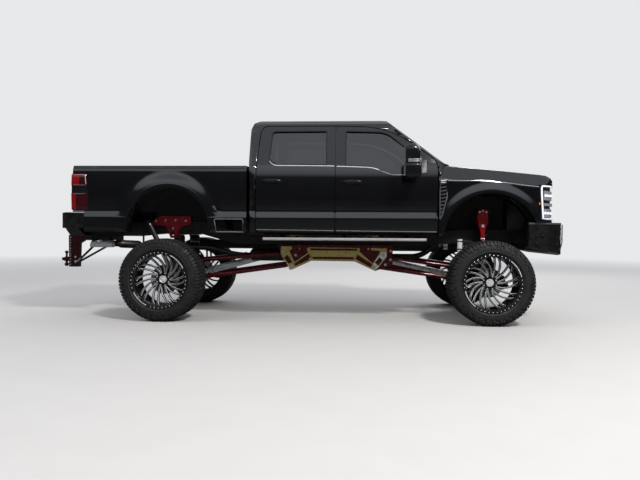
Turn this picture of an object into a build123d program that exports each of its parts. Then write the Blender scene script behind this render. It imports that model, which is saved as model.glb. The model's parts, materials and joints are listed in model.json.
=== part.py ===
"""A lifted four-door pickup truck on wide wheels, in millimetres.

+X points to the nose, +Y to the truck's left side and +Z up. While the pieces are made, x is
measured from the front axle and z from the ground. The export moves everything along x so that
the origin lies on the ground under the middle of the truck's length.
"""
from build123d import *
import math
import os

# Running gear
wheelbase = 4060
tyre_radius = 515            # out to the tips of the lugs
tyre_width = 392
lug_depth = 20
lug_pitches = 26
tread_half = 172             # half width of the lugged tread
wheel_plane = 995            # middle of each tyre, from the truck's centreline
rim_radius = 352             # outer edge of the lip
rim_seat = 334               # where the tyre's bead sits
rim_width = 380
rim_wall = 14
rim_flats = 20
lip_thickness = 14
spokes = 10
spoke_width = 15             # of each of a spoke's two branches
hub_radius = 104
hub_face = 965               # where a wheel bolts on, from the centreline
hub_thickness = 46
dish_depth = 84              # how far the spokes lean out from the hub to the rim
cap_radius = 30
cap_depth = 30
steer_axis = 770             # each steering axis, from the centreline
steer_arm = 260
arm_drop = 45                # of the steering arms' top below the axle
arm_height = 30
tie_end_radius = 20
kingpin_half = 95
brake_radius = 180
axle_tube = 54
diff_radius = 165
front_diff_y = 260
front_pad_rise = 190         # of the brackets' pads above the axle
rear_pad_rise = 250

# Ladder frame
rail_centre = 430
rail_width = 70
rail_height = 170
rail_mid_z = 1040            # middle of the straight part of the rails
rail_front_rise = 40
rail_axle_rise = 130
rail_tail_rise = 90

# Suspension
link_y = 462
link_radius = 27
eye_radius = 40
eye_width = 85
mount_plate = 20             # red plates each side of the link eyes
face_plate = 10              # gold plate over them
bracket_plate = 12
spring_radius = 75
spring_y = 388
shock_y = 566
shock_radius = 34

# Body heights, each from the one below it
sill_z = 1060
door_bottom_z = sill_z + 62
widest_z = door_bottom_z + 168
crease_z = widest_z + 88
belt_z = crease_z + 572
roof_z = belt_z + 655
floor_z = sill_z + 115
floor_thickness = 35

# Body widths, each inwards from the widest line
body_half_width = 1012
door_depth = 122             # whole thickness of a door
flare_stand = 24             # how far the flares stand out
hood_setback = 129           # from the widest line to the hood's side edge
lamp_width = 390
bed_wall = 162               # whole thickness of the bed's walls
bed_skin = 62                # thickness of its skirt under the floor

# Cab
door_front = -640            # leading edge of the front doors
door_split = -1899           # between front and rear doors
door_rear = -2887
door_gap = 14
cab_rear = -2985
cab_wall = 58
firewall = -560
glass_thickness = 6
glass_inset = 8
windshield_base = -415       # x of the glass line on the centreline at the height below
windshield_base_z = belt_z + 50
windshield_run = 605         # the glass goes back this far for each rise below
windshield_rise = 446
windshield_bow = 2622        # radius of the glass and the cowl, seen from above
seat_base = 155

# Nose
nose_x = 850
nose_chin_z = 1255           # underside of the nose above the bumper
hood_gap = 8
hood_lip_z = belt_z - 205    # lower front edge of the hood
cowl_gap = 22                # between the hood's rear edge and the cab
panel = 26
hood_thickness = 34
vent_depth = 14

# Bed
bed_gap = 22
bed_length = 2225
bed_rail_z = belt_z - 5
bed_floor_z = crease_z + 27
bed_floor_thickness = 36
bed_bottom_z = sill_z + 50
wheelhouse_half = 640
house_thickness = 22         # of the boxes over the rear wheels
sill_height = 79             # of the sills under the bed's floor
headboard = 50
shield_gap = 8               # between the splash shields and the frame rails
tailgate_thickness = 70
tailgate_gap = 10

# Wheel arches
front_arch_radius = 575
front_arch_z = 1035
front_arch_x = 8
rear_arch_radius = 521
rear_arch_z = 1152
rear_arch_shift = 60         # the rear arch lies this far ahead of the axle
flare_width = 50             # rounded edge of a flare
flare_slope = 90             # from that edge out to the body side
liner_thickness = 16

# Bumpers and hitch
front_reach = 990            # bumper face ahead of the front axle
rear_reach = 1803            # ball mount's end behind the rear axle
bumper_depth = 135           # of the front bumper at its middle
front_bumper_top = 1245
rear_bumper_top = 1350
rear_bumper_depth = 210
hitch_drop_z = 600

# Drive line and engine bay
cradle_z = 862               # where the gearbox rests
gearbox_radius = 118
carrier_x = -2700            # bearing between both rear shafts
carrier_z = 836
support_z = belt_z - 250     # of the bar over the radiator
support_height = 80

seat_clearance = 0.3         # between pieces that rest on each other with round or moving faces

# Worked out from the sizes above
rear_axle = -wheelbase
bed_front = cab_rear - bed_gap
bed_rear = bed_front - bed_length
rear_arch_x = rear_axle + rear_arch_shift
origin_x = (front_reach + rear_axle - rear_reach) / 2
rail_outer = rail_centre + rail_width / 2
rail_inner = rail_centre - rail_width / 2
rail_top = rail_mid_z + rail_height / 2
rail_bottom = rail_mid_z - rail_height / 2
rail_rear_end = bed_rear - 8
eye_low = link_y - eye_width / 2
eye_high = link_y + eye_width / 2
floor_bottom = floor_z - floor_thickness
windshield_centre = windshield_base - windshield_bow
windshield_radius = windshield_bow * math.hypot(windshield_run, windshield_rise) / windshield_rise
front_pinion = (-250, front_diff_y, tyre_radius + 20)
rear_pinion = (rear_axle + 280, 0, tyre_radius + 30)
nose_rear = door_front + door_gap
bumper_back = front_reach - bumper_depth
rear_bumper_back = bed_rear - 8
door_inner_half = body_half_width - door_depth
flare_half = body_half_width + flare_stand
hood_half = body_half_width - hood_setback
lamp_inner = body_half_width - lamp_width
bed_inner_half = body_half_width - bed_wall
bed_skin_inner = body_half_width - bed_skin
cab_reach_z = (sill_z - 60, roof_z + 95)                       # z range that holds the whole cab
window_reach = (body_half_width - 452, body_half_width + 88)   # y range that holds a door's upper part


def outline(points, radius=0):
    """A closed face from its corners, rounded by one radius or by one for each corner."""
    if radius == 0:
        return make_face(Polyline(*points, close=True))
    return make_face(FilletPolyline(*points, radius=radius, close=True))


def side_prism(face, y_low, y_high):
    """A side view (x, z) given a thickness across the truck."""
    plane = Plane(origin=(0, y_high, 0), x_dir=(1, 0, 0), z_dir=(0, -1, 0))
    return extrude(plane * face, y_high - y_low)


def cross_prism(face, x_low, x_high):
    """A view from behind (y, z) given a length along the truck."""
    plane = Plane(origin=(x_low, 0, 0), x_dir=(0, 1, 0), z_dir=(1, 0, 0))
    return extrude(plane * face, x_high - x_low)


def plan_prism(face, z_low, z_high):
    """A view from above (x, y) given a height."""
    return extrude(Plane.XY.offset(z_low) * face, z_high - z_low)


def block(x_low, x_high, y_low, y_high, z_low, z_high):
    centre = ((x_low + x_high) / 2, (y_low + y_high) / 2, (z_low + z_high) / 2)
    return Pos(*centre) * Box(x_high - x_low, y_high - y_low, z_high - z_low)


def rod(start, end, radius):
    """A round bar between two points."""
    a, b = Vector(*start), Vector(*end)
    return extrude(Plane(origin=a, z_dir=b - a) * Circle(radius), (b - a).length)


def turned(centre, axis, sections, sides=12):
    """A form about an axis, made of flat faces between its (offset, radius) sections."""
    axis = Vector(*axis).normalized()
    turns = [2 * math.pi * i / sides for i in range(sides)]
    rings = []
    for along, radius in sections:
        plane = Plane(origin=Vector(*centre) + axis * along, z_dir=axis)
        corners = [Vector(radius * math.cos(turn), radius * math.sin(turn)) for turn in turns]
        rings.append([plane.from_local_coords(corner) for corner in corners])
    faces = [Face(Wire.make_polygon(ring)) for ring in (rings[0], rings[-1])]
    for low, high in zip(rings, rings[1:]):
        for i in range(sides):
            faces.append(Face(Wire.make_polygon([low[i - 1], low[i], high[i], high[i - 1]])))
    return Part() + Solid(Shell(faces))


def bar(start, end, radius, sides=10):
    """A bar between two points that has flats round it, for the many small round pieces."""
    along = Vector(*end) - Vector(*start)
    return extrude(Plane(origin=start, z_dir=along) * RegularPolygon(radius, sides), along.length)


def bent_bar(path, radius, sides=8):
    """Bars along a path, each run a little way past its corner so that they join."""
    runs = []
    for start, end in zip(path, path[1:]):
        along = (Vector(*end) - Vector(*start)).normalized()
        runs.append(bar(start, tuple(Vector(*end) + along * radius / 3), radius, sides))
    return joined(runs)


def disc_y(x, z, radius, y_low, y_high):
    """A cylinder across the truck."""
    return rod((x, y_low, z), (x, y_high, z), radius)


def eye(x, z, radius, y_low, y_high):
    """A small bush across the truck, with flats round it."""
    return bar((x, y_low, z), (x, y_high, z), radius, 8)


def mirrored(piece):
    return mirror(piece, about=Plane.XZ)


def both(piece):
    """The piece and its mirror image on the other side of the truck."""
    return piece + mirrored(piece)


def joined(pieces):
    return Part() + list(pieces)


# Wheels and tyres, made at the origin with the outer face towards +Y

def wheel_form(sections, sides):
    """A form about the wheel's axle, straight between (y, radius) sections, with flats round it."""
    return turned((0, 0, 0), (0, 1, 0), sections, sides)


def lug_ring(y_low, y_high, shift):
    """One row of tread lugs, its flats at the tyre's radius, turned by a share of a pitch."""
    step = 2 * math.pi / lug_pitches
    tip = tyre_radius / math.cos(0.24 * step)
    root = tyre_radius - lug_depth - 8
    corners = []
    for i in range(lug_pitches):
        for share, radius in ((-0.34, root), (-0.24, tip), (0.24, tip), (0.34, root)):
            turn = (i + shift + share) * step
            corners.append((radius * math.cos(turn), radius * math.sin(turn)))
    plane = Plane(origin=(0, y_low, 0), x_dir=(1, 0, 0), z_dir=(0, 1, 0))
    return extrude(plane * (outline(corners) - RegularPolygon(root - 12, 12)), y_high - y_low)


def tyre():
    half = tyre_width / 2
    bead_y = half - 24
    tread = tyre_radius - lug_depth
    bore = rim_seat + seat_clearance
    lip = rim_radius + seat_clearance
    side = [(tread_half, tread), (half, rim_radius + 66)]
    form = wheel_form([(-y, r) for y, r in reversed(side)] + side, lug_pitches)
    form -= wheel_form([(-half - 1, bore), (half + 1, bore)], rim_flats)
    cup = wheel_form([(bead_y, lip), (half + 6, lip + 42)], rim_flats)
    form -= cup + mirrored(cup)
    return form + lug_ring(-tread_half, 0, 0) + lug_ring(0, tread_half, 0.5)


def branch(start, bend, radius):
    """Angle in degrees of a spoke's branch at a radius, as it bends round on its way from the hub."""
    share = (radius - hub_radius) / (rim_seat - hub_radius)
    return start + bend * share


def spoke_window(first, second, radii):
    """The opening between two branches, each given as (start, bend), in the wheel's plane."""
    low, high = [], []
    for radius in radii:
        half = math.degrees(spoke_width / 2 / radius)
        low.append((radius, branch(*first, radius) + half))
        high.append((radius, branch(*second, radius) - half))
    return outline([(r * math.cos(math.radians(turn)), r * math.sin(math.radians(turn)))
                    for r, turn in low + high[::-1]])


def wheel():
    """A deep rim with ten forked spokes that bend round towards it."""
    half = rim_width / 2
    inner = rim_seat - rim_wall
    face = hub_face - wheel_plane
    front = face + hub_thickness
    barrel = wheel_form([(-half, rim_seat), (half, rim_seat)], rim_flats)
    lip = wheel_form([(half - lip_thickness, rim_radius), (half, rim_radius)], rim_flats)
    barrel += lip + mirrored(lip)
    barrel -= wheel_form([(-half - 1, inner), (half + 1, inner)], rim_flats)
    dish = wheel_form([(face, hub_radius + 60), (face + dish_depth, inner + 6),
                       (front + dish_depth, inner + 6)], rim_flats)
    dish -= wheel_form([(front, hub_radius), (front + dish_depth + 2, inner + 7)], rim_flats)
    step = 360 / spokes
    lower_bend, upper_bend, start = 17, 25, 5
    windows = []
    for i in range(spokes):
        lower = (i * step - start, lower_bend)
        upper = (i * step + start, upper_bend)
        after = ((i + 1) * step - start, lower_bend)
        windows.append(spoke_window(lower, upper, (210, inner - 10)))
        windows.append(spoke_window(upper, after, (hub_radius + 16, 190, inner - 10)))
    plane = Plane(origin=(0, half, 0), x_dir=(1, 0, 0), z_dir=(0, -1, 0))
    dish -= [extrude(plane * window, rim_width) for window in windows]
    cap = bar((0, front - 10, 0), (0, front + cap_depth, 0), cap_radius, 16)
    return barrel + dish + cap


def place_wheel(piece, axle_x, side):
    """Puts a wheel or tyre on its axle, on the left (side 1) or on the right (side -1)."""
    placed = Pos(axle_x, wheel_plane, tyre_radius) * piece
    return placed if side == 1 else mirrored(placed)


# Axles and steering

def link_brackets(points, high_z, x_low, x_high, pad_low):
    """Two plates round the link eyes of one axle, with a flat pad on top from the given y."""
    face = outline(points)
    low = eye_low - seat_clearance
    high = eye_high + seat_clearance
    plates = side_prism(face, low - bracket_plate, low) + side_prism(face, high, high + bracket_plate)
    pad = block(x_low, x_high, pad_low, high + bracket_plate, high_z, high_z + bracket_plate)
    return plates + pad


def differential(x, y, radius, pinion_end, cover_reach):
    """The round housing of an axle's gears with its pinion nose and its cover."""
    z = tyre_radius
    shares = ((-0.92, 0.4), (-0.5, 0.88), (0.5, 0.88), (0.92, 0.4))
    housing = turned((x, y, z), (0, 1, 0), [(radius * along, radius * across) for along, across in shares])
    pinion = bar((x, y, z), pinion_end, 66)
    depth = abs(cover_reach)
    cover = turned((x, y, z), (cover_reach, 0, 0),
                   [(0, radius * 0.8), (depth - 18, radius * 0.75), (depth, radius * 0.5)])
    return housing + pinion + cover


def front_axle():
    z = tyre_radius
    yoke = steer_axis - 62
    yoke_low = yoke - 18
    yoke_high = steer_axis + 32
    ear = kingpin_half + 30
    tube = bar((0, -yoke, z), (0, yoke, z), axle_tube, 16)
    gears = differential(0, front_diff_y, diff_radius, front_pinion, diff_radius + 20)
    back = block(-45, 45, yoke_low, yoke, z - ear, z + ear)
    upper = block(-42, 42, yoke_low, yoke_high, z + kingpin_half, z + ear)
    lower = block(-42, 42, yoke_low, yoke_high, z - ear, z - kingpin_half)
    pad_z = z + front_pad_rise
    brackets = link_brackets([(-150, z - 70), (60, z - 50), (70, pad_z), (-110, pad_z)], pad_z, -110, 70,
                             eye_low - bracket_plate)
    return tube + gears + both(back + upper + lower + brackets)


def knuckle():
    """Left steering knuckle with its hub, brake and steering arm."""
    z = tyre_radius
    post_end = kingpin_half - seat_clearance
    flange_face = hub_face - seat_clearance
    disc_back = hub_face - 60
    post = rod((0, steer_axis, z - post_end), (0, steer_axis, z + post_end), 34)
    body = block(-50, 50, steer_axis + 5, steer_axis + 70, z - 80, z + 80)
    spindle = bar((0, steer_axis + 40, z), (0, flange_face - 20, z), 60)
    disc = bar((0, disc_back, z), (0, disc_back + 28, z), brake_radius, 24)
    flange = bar((0, flange_face - 40, z), (0, flange_face, z), 96, 16)
    reach = brake_radius + 25
    caliper = side_prism(outline([(60, z - 85), (reach - 20, z - 85), (reach, z), (reach - 20, z + 85),
                                  (60, z + 85)]), disc_back - 30, disc_back + 48)
    tip = steer_arm + 26
    arm_face = outline([(0, steer_axis - 30), (steer_arm, steer_axis - 24), (tip, steer_axis - 12),
                        (tip, steer_axis + 12), (steer_arm, steer_axis + 20), (0, steer_axis + 30)])
    arm = plan_prism(arm_face, z - arm_drop - arm_height, z - arm_drop)
    return post + body + spindle + disc + flange + caliper + arm


def tie_rod():
    """Bar between both steering arms, its round ends standing on them."""
    arm_top = tyre_radius - arm_drop
    middle_z = arm_top + seat_clearance + 20
    long_bar = bar((steer_arm, -steer_axis, middle_z), (steer_arm, steer_axis, middle_z), 18)
    end = rod((steer_arm, steer_axis, arm_top + seat_clearance), (steer_arm, steer_axis, middle_z + 20),
              tie_end_radius)
    return long_bar + both(end)


def rear_axle_beam():
    z = tyre_radius
    x = rear_axle
    disc_back = hub_face - 60
    tube = bar((x, -disc_back, z), (x, disc_back, z), axle_tube + 6, 16)
    gears = differential(x, 0, diff_radius + 12, rear_pinion, -diff_radius - 32)
    disc = bar((x, disc_back, z), (x, disc_back + 28, z), brake_radius, 24)
    flange = bar((x, disc_back, z), (x, hub_face - seat_clearance, z), 96, 16)
    pad_z = z + rear_pad_rise
    brackets = link_brackets([(x - 70, z - 60), (x + 150, z - 90), (x + 150, z + 40), (x + 120, pad_z),
                              (x - 70, pad_z)], pad_z, x - 70, x + 120, spring_y - spring_radius)
    return tube + gears + both(disc + flange + brackets)


# Link ends: (x, z) at the axle and (x, z) at the frame's link mounts
LINKS = {
    "front_upper": ((-70, 640), (-1274, rail_bottom - 150)),
    "front_lower": ((-100, 490), (-1387, rail_bottom - 287)),
    "rear_upper": ((rear_axle + 70, 705), (-2589, rail_bottom - 111)),
    "rear_lower": ((rear_axle + 105, 470), (-2489, rail_bottom - 271)),
}


def suspension_links():
    links = []
    for axle_end, frame_end in LINKS.values():
        link = bar((axle_end[0], link_y, axle_end[1]), (frame_end[0], link_y, frame_end[1]), link_radius, 8)
        for x, z in (axle_end, frame_end):
            link += eye(x, z, eye_radius, eye_low, eye_high)
        links.append(link)
    return both(joined(links))


mount_top = rail_bottom - 20

# Side views of the link mounts, as x and depth below the rails
MOUNT_EDGE = [
    (-2628, 0), (-2628, 129), (-2494, 341), (-2218, 213), (-1649, 218), (-1376, 342), (-1150, 255),
    (-1150, 0),
]
FACE_EDGE = [
    (-2628, 25), (-2628, 129), (-2494, 341), (-2218, 213), (-1649, 218), (-1376, 342), (-1226, 154),
    (-1226, 43), (-1433, 37), (-1433, 69), (-1340, 71), (-1313, 84), (-1409, 243), (-1582, 87), (-1582, 40),
    (-2260, 35), (-2278, 55), (-2269, 109), (-2444, 231), (-2515, 83), (-2482, 59), (-2479, 25),
]
FACE_WINDOWS = [
    [(-2585, 174), (-2539, 133), (-2474, 228), (-2521, 257)],
    [(-2447, 253), (-2250, 116), (-2228, 188), (-2438, 286)],
    [(-2244, 48), (-1612, 48), (-1612, 76), (-2230, 74)],
    [(-2206, 160), (-1660, 160), (-1658, 190), (-2202, 188)],
    [(-1612, 125), (-1638, 185), (-1436, 295), (-1415, 251)],
    [(-1323, 159), (-1277, 198), (-1338, 272), (-1385, 232)],
]


def under_rails(points):
    return outline([(x, rail_bottom - depth) for x, depth in points])


def link_mounts():
    """Red bracket boxes under the rails, with room for the link eyes between their plates."""
    low = eye_low - seat_clearance
    high = eye_high + seat_clearance
    face = under_rails(MOUNT_EDGE)
    plates = side_prism(face, low - mount_plate, low) + side_prism(face, high, high + mount_plate)
    ribs = [block(x, x + 14, low, high, rail_bottom - 190, mount_top) for x in (-2330, -1560)]
    cap = block(MOUNT_EDGE[0][0], MOUNT_EDGE[-1][0], low, high, mount_top, rail_bottom)
    return both(plates + joined(ribs) + cap)


def link_mount_faces():
    """Gold frames over the bracket boxes: a slotted bar that ends in a fork round each pair of links."""
    face = under_rails(FACE_EDGE) - [under_rails(window) for window in FACE_WINDOWS]
    low = eye_high + seat_clearance + mount_plate
    return both(side_prism(face, low, low + face_plate))


front_perch_z = rail_mid_z + rail_front_rise - rail_height / 2
axle_rail_bottom = rail_bottom + rail_axle_rise
rear_spring_x = rear_axle + 25
tower_top = rail_mid_z + 371
tower_face = rail_outer + 36


def air_springs():
    """Rear air bags with three bellies each."""
    low = tyre_radius + rear_pad_rise + bracket_plate + seat_clearance
    high = axle_rail_bottom - bracket_plate - seat_clearance
    belly = (high - low) / 3
    waist = spring_radius - 12
    sections = [(low, waist)]
    for i in range(3):
        sections += [(low + (i + 0.5) * belly, spring_radius), (low + (i + 1) * belly, waist)]
    return both(turned((rear_spring_x, spring_y, 0), (0, 0, 1), sections, 14))


def spring_towers():
    """Red brackets on the outside of the rails that hold the shocks and rear springs."""
    front = side_prism(outline([
        (-43, tower_top), (74, tower_top), (93, 1267), (52, 1163), (52, front_perch_z), (-14, front_perch_z),
        (-14, 1163), (-71, 1267),
    ]), rail_outer, tower_face)
    front -= bar((18, rail_outer - 5, 1290), (18, tower_face + 5, 1290), 24, 6)
    cap = block(-43, 74, rail_outer, shock_y + 76, tower_top - bracket_plate, tower_top)
    rear = side_prism(outline([
        (-4263, 1325), (-3853, 1325), (-3853, 1219), (-3980, 1190), (-4047, 1030), (-4130, 1030),
        (-4190, 1190), (-4420, 1219),
    ]), rail_outer, rail_outer + mount_plate)
    diamond = outline([(-4128, 1091), (-4096, 1125), (-4064, 1091), (-4096, 1058)])
    rear -= side_prism(diamond, rail_inner, tower_face)
    perch = block(rear_spring_x - 90, rear_spring_x + 90, spring_y - spring_radius, rail_outer,
                  axle_rail_bottom - bracket_plate, axle_rail_bottom)
    return both(front + cap + rear + perch)


def shocks():
    """Front and rear shocks; the front ones have a second tube beside them for their oil."""
    y = shock_y
    bracket_face = eye_high + seat_clearance + bracket_plate + seat_clearance
    low_z = tyre_radius + 97
    front = bar((15, y, low_z), (15, y, tower_top - bracket_plate - seat_clearance), shock_radius + 12)
    front += eye(15, low_z, 34, bracket_face, y + 20)
    tube = bar((-287, y, 875), (-287, y, 1043), 34) + block(-287, 15, y - 14, y + 14, 960, 1000)
    rear_low = (rear_axle - 30, y, tyre_radius + 85)
    rear_high = (rear_axle - 340, y, 1245)
    rear = bar(rear_high, rear_low, shock_radius)
    rear += eye(rear_high[0], rear_high[2], 30, rail_outer + mount_plate + seat_clearance, y + 20)
    rear += eye(rear_low[0], rear_low[2], 30, bracket_face, y + 20)
    return both(front + tube + rear)


# Frame and drive line

# Kinks of the rails, as x and rise above their straight part
RAIL_LINE = [
    (bumper_back, rail_front_rise), (-250, rail_front_rise), (-620, 0), (-3250, 0), (-3700, rail_axle_rise),
    (-4450, rail_axle_rise), (-4850, rail_tail_rise), (rail_rear_end, rail_tail_rise),
]


def frame_rails():
    upper = [(x, rail_top + rise) for x, rise in RAIL_LINE]
    lower = [(x, rail_bottom + rise) for x, rise in reversed(RAIL_LINE)]
    rail = side_prism(outline(upper + lower), rail_inner, rail_outer)
    for x in (-900, -1850, -2780):
        rail += bar((x, rail_centre, rail_top - 5), (x, rail_centre, floor_bottom), 34)
    return both(rail)


# Crossmembers: x of the middle, lowest z and highest z
CROSSMEMBERS = [
    (600, 1075, 1165), (-420, 975, 1035), (-2700, 955, 1075), (-3400, 1010, 1120), (-4560, 1110, 1220),
    (-5190, 1060, 1180),
]


def crossmembers():
    bars = [block(x - 45, x + 45, -rail_inner, rail_inner, low, high) for x, low, high in CROSSMEMBERS]
    half = rail_inner
    high = rail_mid_z
    cradle = cross_prism(outline([
        (-half, high), (-half, high - 75), (-190, cradle_z - 27), (190, cradle_z - 27), (half, high - 75),
        (half, high), (185, cradle_z), (-185, cradle_z),
    ]), -1510, -1430)
    hanger = block(-2720, -2680, -70, 70, carrier_z + 59, 955)
    return joined(bars) + cradle + hanger


def engine():
    return block(-490, 330, -310, 310, CROSSMEMBERS[1][2], belt_z - 330)


def radiator():
    core = block(570, 640, -420, 420, CROSSMEMBERS[0][2], support_z)
    support = block(600, 680, -560, 560, support_z, support_z + support_height)
    return core + support


def gearbox():
    z = cradle_z + gearbox_radius + seat_clearance
    case = bar((-490, 0, z), (-1600, 0, z), gearbox_radius, 16)
    bell = turned((-490, 0, z + 10), (-1, 0, 0), [(0, gearbox_radius + 30), (210, gearbox_radius + 5)], 16)
    transfer = block(-1860, -1600, -110, 300, z - 235, z + 115)
    foot = block(-1500, -1440, -60, 60, cradle_z, z)
    return case + bell + transfer + foot


def driveshafts(ends):
    """Front shaft and two-piece rear shaft, cut to meet the gearbox and both axles."""
    front = bar((-1600, 250, 800), front_pinion, 36)
    joint = bar((carrier_x - 50, 0, carrier_z), (carrier_x + 50, 0, carrier_z), 59 - seat_clearance)
    rear = bar((-1850, 0, cradle_z + gearbox_radius), (carrier_x, 0, carrier_z), 44)
    tail = bar((carrier_x, 0, carrier_z), (rear_pinion[0] - 10, 0, rear_pinion[2] - 1), 47)
    return (front + (rear + joint + tail)) - ends


def fuel_tank():
    """Tank along the left rail; its rear part is lower, so that it passes under a crossmember."""
    low = rail_mid_z - 160
    high = low + 230
    step = CROSSMEMBERS[3][1] - 5
    section = outline([(130, low), (rail_inner, low), (rail_inner, high), (100, high), (100, low + 40)])
    side = outline([(-2760, low), (-2760, high), (-3340, high), (-3340, step), (-3700, step),
                    (-3700, low + 50), (-3600, low)])
    return cross_prism(section, -3700, -2760) & side_prism(side, 100, rail_inner)


def exhaust():
    """Pipe along the right of the frame, with its muffler and the slash-cut tip behind the rear wheel."""
    path = [(-520, -345, 1010), (-760, -280, 800), (-3250, -280, 800), (-3650, -262, 900), (-4300, -262, 900),
            (-4620, -330, 930), (-4900, -600, 950)]
    pipe = bent_bar(path, 36)
    muffler = bar((-2250, -285, 810), (-3050, -285, 810), 84)
    tip = bar((-4873, -600, 950), (-5174, -600, 950), 48, 16)
    tip -= side_prism(outline([(-5200, 800), (-5174, 902), (-5146, 998), (-5146, 1100), (-5300, 1100),
                               (-5300, 800)]), -700, -500)
    front_hanger = block(-2670, -2650, -410, -350, 840, rail_bottom)
    rear_hanger = block(-4570, -4550, -327, -307, 950, CROSSMEMBERS[4][1])
    return pipe + muffler + tip + front_hanger + rear_hanger


# Cab

def side_edges():
    """The body side's curve from the crease up to the belt line, seen from behind."""
    half = body_half_width
    return ThreePointArc((half - 22, crease_z), (half - 11, crease_z + 242), (half - 50, belt_z))


def cab_section(inner):
    """Left half of the cab from behind: its outer skin, or the space inside it."""
    half = body_half_width
    room = door_inner_half
    if inner:
        return outline([(0, floor_z), (room, floor_z), (room, belt_z - 60), (half - 100, belt_z + 12),
                        (half - 274, roof_z - 173), (half - 402, roof_z - 85), (0, roof_z - 55)])
    lower = Polyline((0, roof_z), (0, floor_bottom), (room - 52, floor_bottom), (room - 35, sill_z),
                     (half - 112, sill_z), (half - 52, sill_z + 25), (half - 12, door_bottom_z),
                     (half, widest_z), (half - 22, crease_z))
    glass = ThreePointArc((half - 50, belt_z), (half - 139, belt_z + 256), (half - 244, roof_z - 155))
    rail = ThreePointArc((half - 244, roof_z - 155), (half - 304, roof_z - 73), (half - 412, roof_z - 37))
    crown = ThreePointArc((half - 412, roof_z - 37), ((half - 412) / 2, roof_z - 9), (0, roof_z))
    upper = [*side_edges().edges(), *glass.edges(), *rail.edges(), *crown.edges()]
    return make_face(Wire([*lower.edges(), *upper]))


def windshield_form(inset):
    """A leaning cylinder whose front is the windshield's surface, made smaller by the inset."""
    lean = Vector(-windshield_run, 0, windshield_rise).normalized()
    base = Vector(windshield_base, 0, windshield_base_z)
    across = Vector(-lean.Z, 0, lean.X)
    start = base + across * windshield_radius - lean * 1800
    return extrude(Plane(origin=start, x_dir=(0, 1, 0), z_dir=lean) * Circle(windshield_radius - inset), 4600)


def cab_side(inset):
    """Side view of the cab, or of the space inside it."""
    rear = cab_rear + inset
    top = roof_z - inset
    roof = ThreePointArc((-900, top - 105), (-1900, top), (rear + 130, top - 33))
    ahead = firewall + 260
    if inset:
        front = [(firewall - inset, floor_z), (firewall - inset, belt_z - 50), (firewall + 60, belt_z + 10),
                 (ahead, belt_z + 10)]
    else:
        front = [(firewall, sill_z), (firewall, belt_z - 110), (ahead, belt_z - 110), (ahead, belt_z + 10)]
    lines = Polyline((rear + 130, top - 33), (rear + 32, top - 85), (rear, top - 175), (rear, front[0][1]),
                     *front, (-900, top - 105))
    return make_face(Wire([*roof.edges(), *lines.edges()]))


def cab_form():
    """Left half of the cab's outer form."""
    wide = body_half_width
    plan = plan_prism(outline([(0, 0), (cab_rear, 0), (cab_rear, wide + 18), (0, wide + 88)], [0, 0, 90, 0]),
                      *cab_reach_z)
    form = cross_prism(cab_section(False), cab_rear - 10, -200) & side_prism(cab_side(0), 0, flare_half + 60)
    cowl = plan_prism(Pos(windshield_centre, 0) * Circle(windshield_bow + 18), 1000, belt_z + 45)
    ahead = block(door_front - 60, -200, 0, flare_half + 60, 1000, belt_z + 45)
    return (form & windshield_form(0) & plan) - (ahead - cowl)


def cab_space():
    return (cross_prism(cab_section(True), cab_rear, -200) & side_prism(cab_side(cab_wall), 0, flare_half)
            & windshield_form(37))


def front_door_outline():
    edge = door_split + door_gap / 2
    lower = Polyline((-1600, roof_z - 143), (edge, roof_z - 135), (edge, door_bottom_z),
                     (door_front, door_bottom_z), (door_front, belt_z - 80))
    pillar = ThreePointArc((door_front, belt_z - 80), (-668, belt_z + 46), (-765, belt_z + 145))
    slope = Line((-765, belt_z + 145), (-1000, belt_z + 318))
    bend = ThreePointArc((-1000, belt_z + 318), (-1290, belt_z + 462), (-1600, roof_z - 143))
    return make_face(Wire([*lower.edges(), *pillar.edges(), *slope.edges(), *bend.edges()]))


def rear_door_outline():
    edge = door_split - door_gap / 2
    return outline([(edge, door_bottom_z), (edge, roof_z - 135), (-2842, roof_z - 135), (-2882, belt_z - 50),
                    (door_rear, door_bottom_z)], [0, 0, 90, 300, 40])


def front_window():
    return outline([(-1776, belt_z - 6), (-1480, belt_z - 18), (-1200, belt_z - 108), (-860, belt_z - 109),
                    (-860, belt_z + 96), (-1260, belt_z + 450), (-1776, belt_z + 464)],
                   [15, 120, 120, 15, 40, 300, 15])


def rear_window():
    return outline([(-2734, belt_z + 80), (-2650, belt_z + 11), (-2003, belt_z + 7), (-2009, belt_z + 466),
                    (-2712, belt_z + 462)], [50, 60, 15, 15, 50])


def windshield_outline():
    half = body_half_width
    return outline([(half - 162, belt_z + 72), (half - 322, roof_z - 143), (322 - half, roof_z - 143),
                    (162 - half, belt_z + 72)], 50)


def rear_glass_outline():
    half = body_half_width
    return outline([(half - 392, belt_z + 60), (half - 442, belt_z + 450), (442 - half, belt_z + 450),
                    (392 - half, belt_z + 60)], 50)


def door_holes():
    """Cuts both door openings on the left, leaving the floor's edge."""
    face = offset(front_door_outline(), door_gap, kind=Kind.INTERSECTION)
    face += offset(rear_door_outline(), door_gap, kind=Kind.INTERSECTION)
    floor = block(cab_rear, 0, 0, door_inner_half - 8, 1000, widest_z + 10)
    return side_prism(face, *window_reach) - floor


def door_pillar():
    """The pillar between the doors, inside their frames."""
    half = body_half_width
    room = door_inner_half
    section = outline([
        (room - 45, floor_z), (room - 7, floor_z), (room - 7, belt_z - 60), (half - 108, belt_z + 10),
        (half - 285, roof_z - 180), (half - 362, roof_z - 115), (half - 372, roof_z - 45),
        (half - 452, roof_z - 45), (half - 452, roof_z - 145), (half - 332, roof_z - 205),
        (half - 154, belt_z - 5), (room - 45, belt_z - 65),
    ])
    return cross_prism(section, door_split - 55, door_split + 55)


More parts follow.
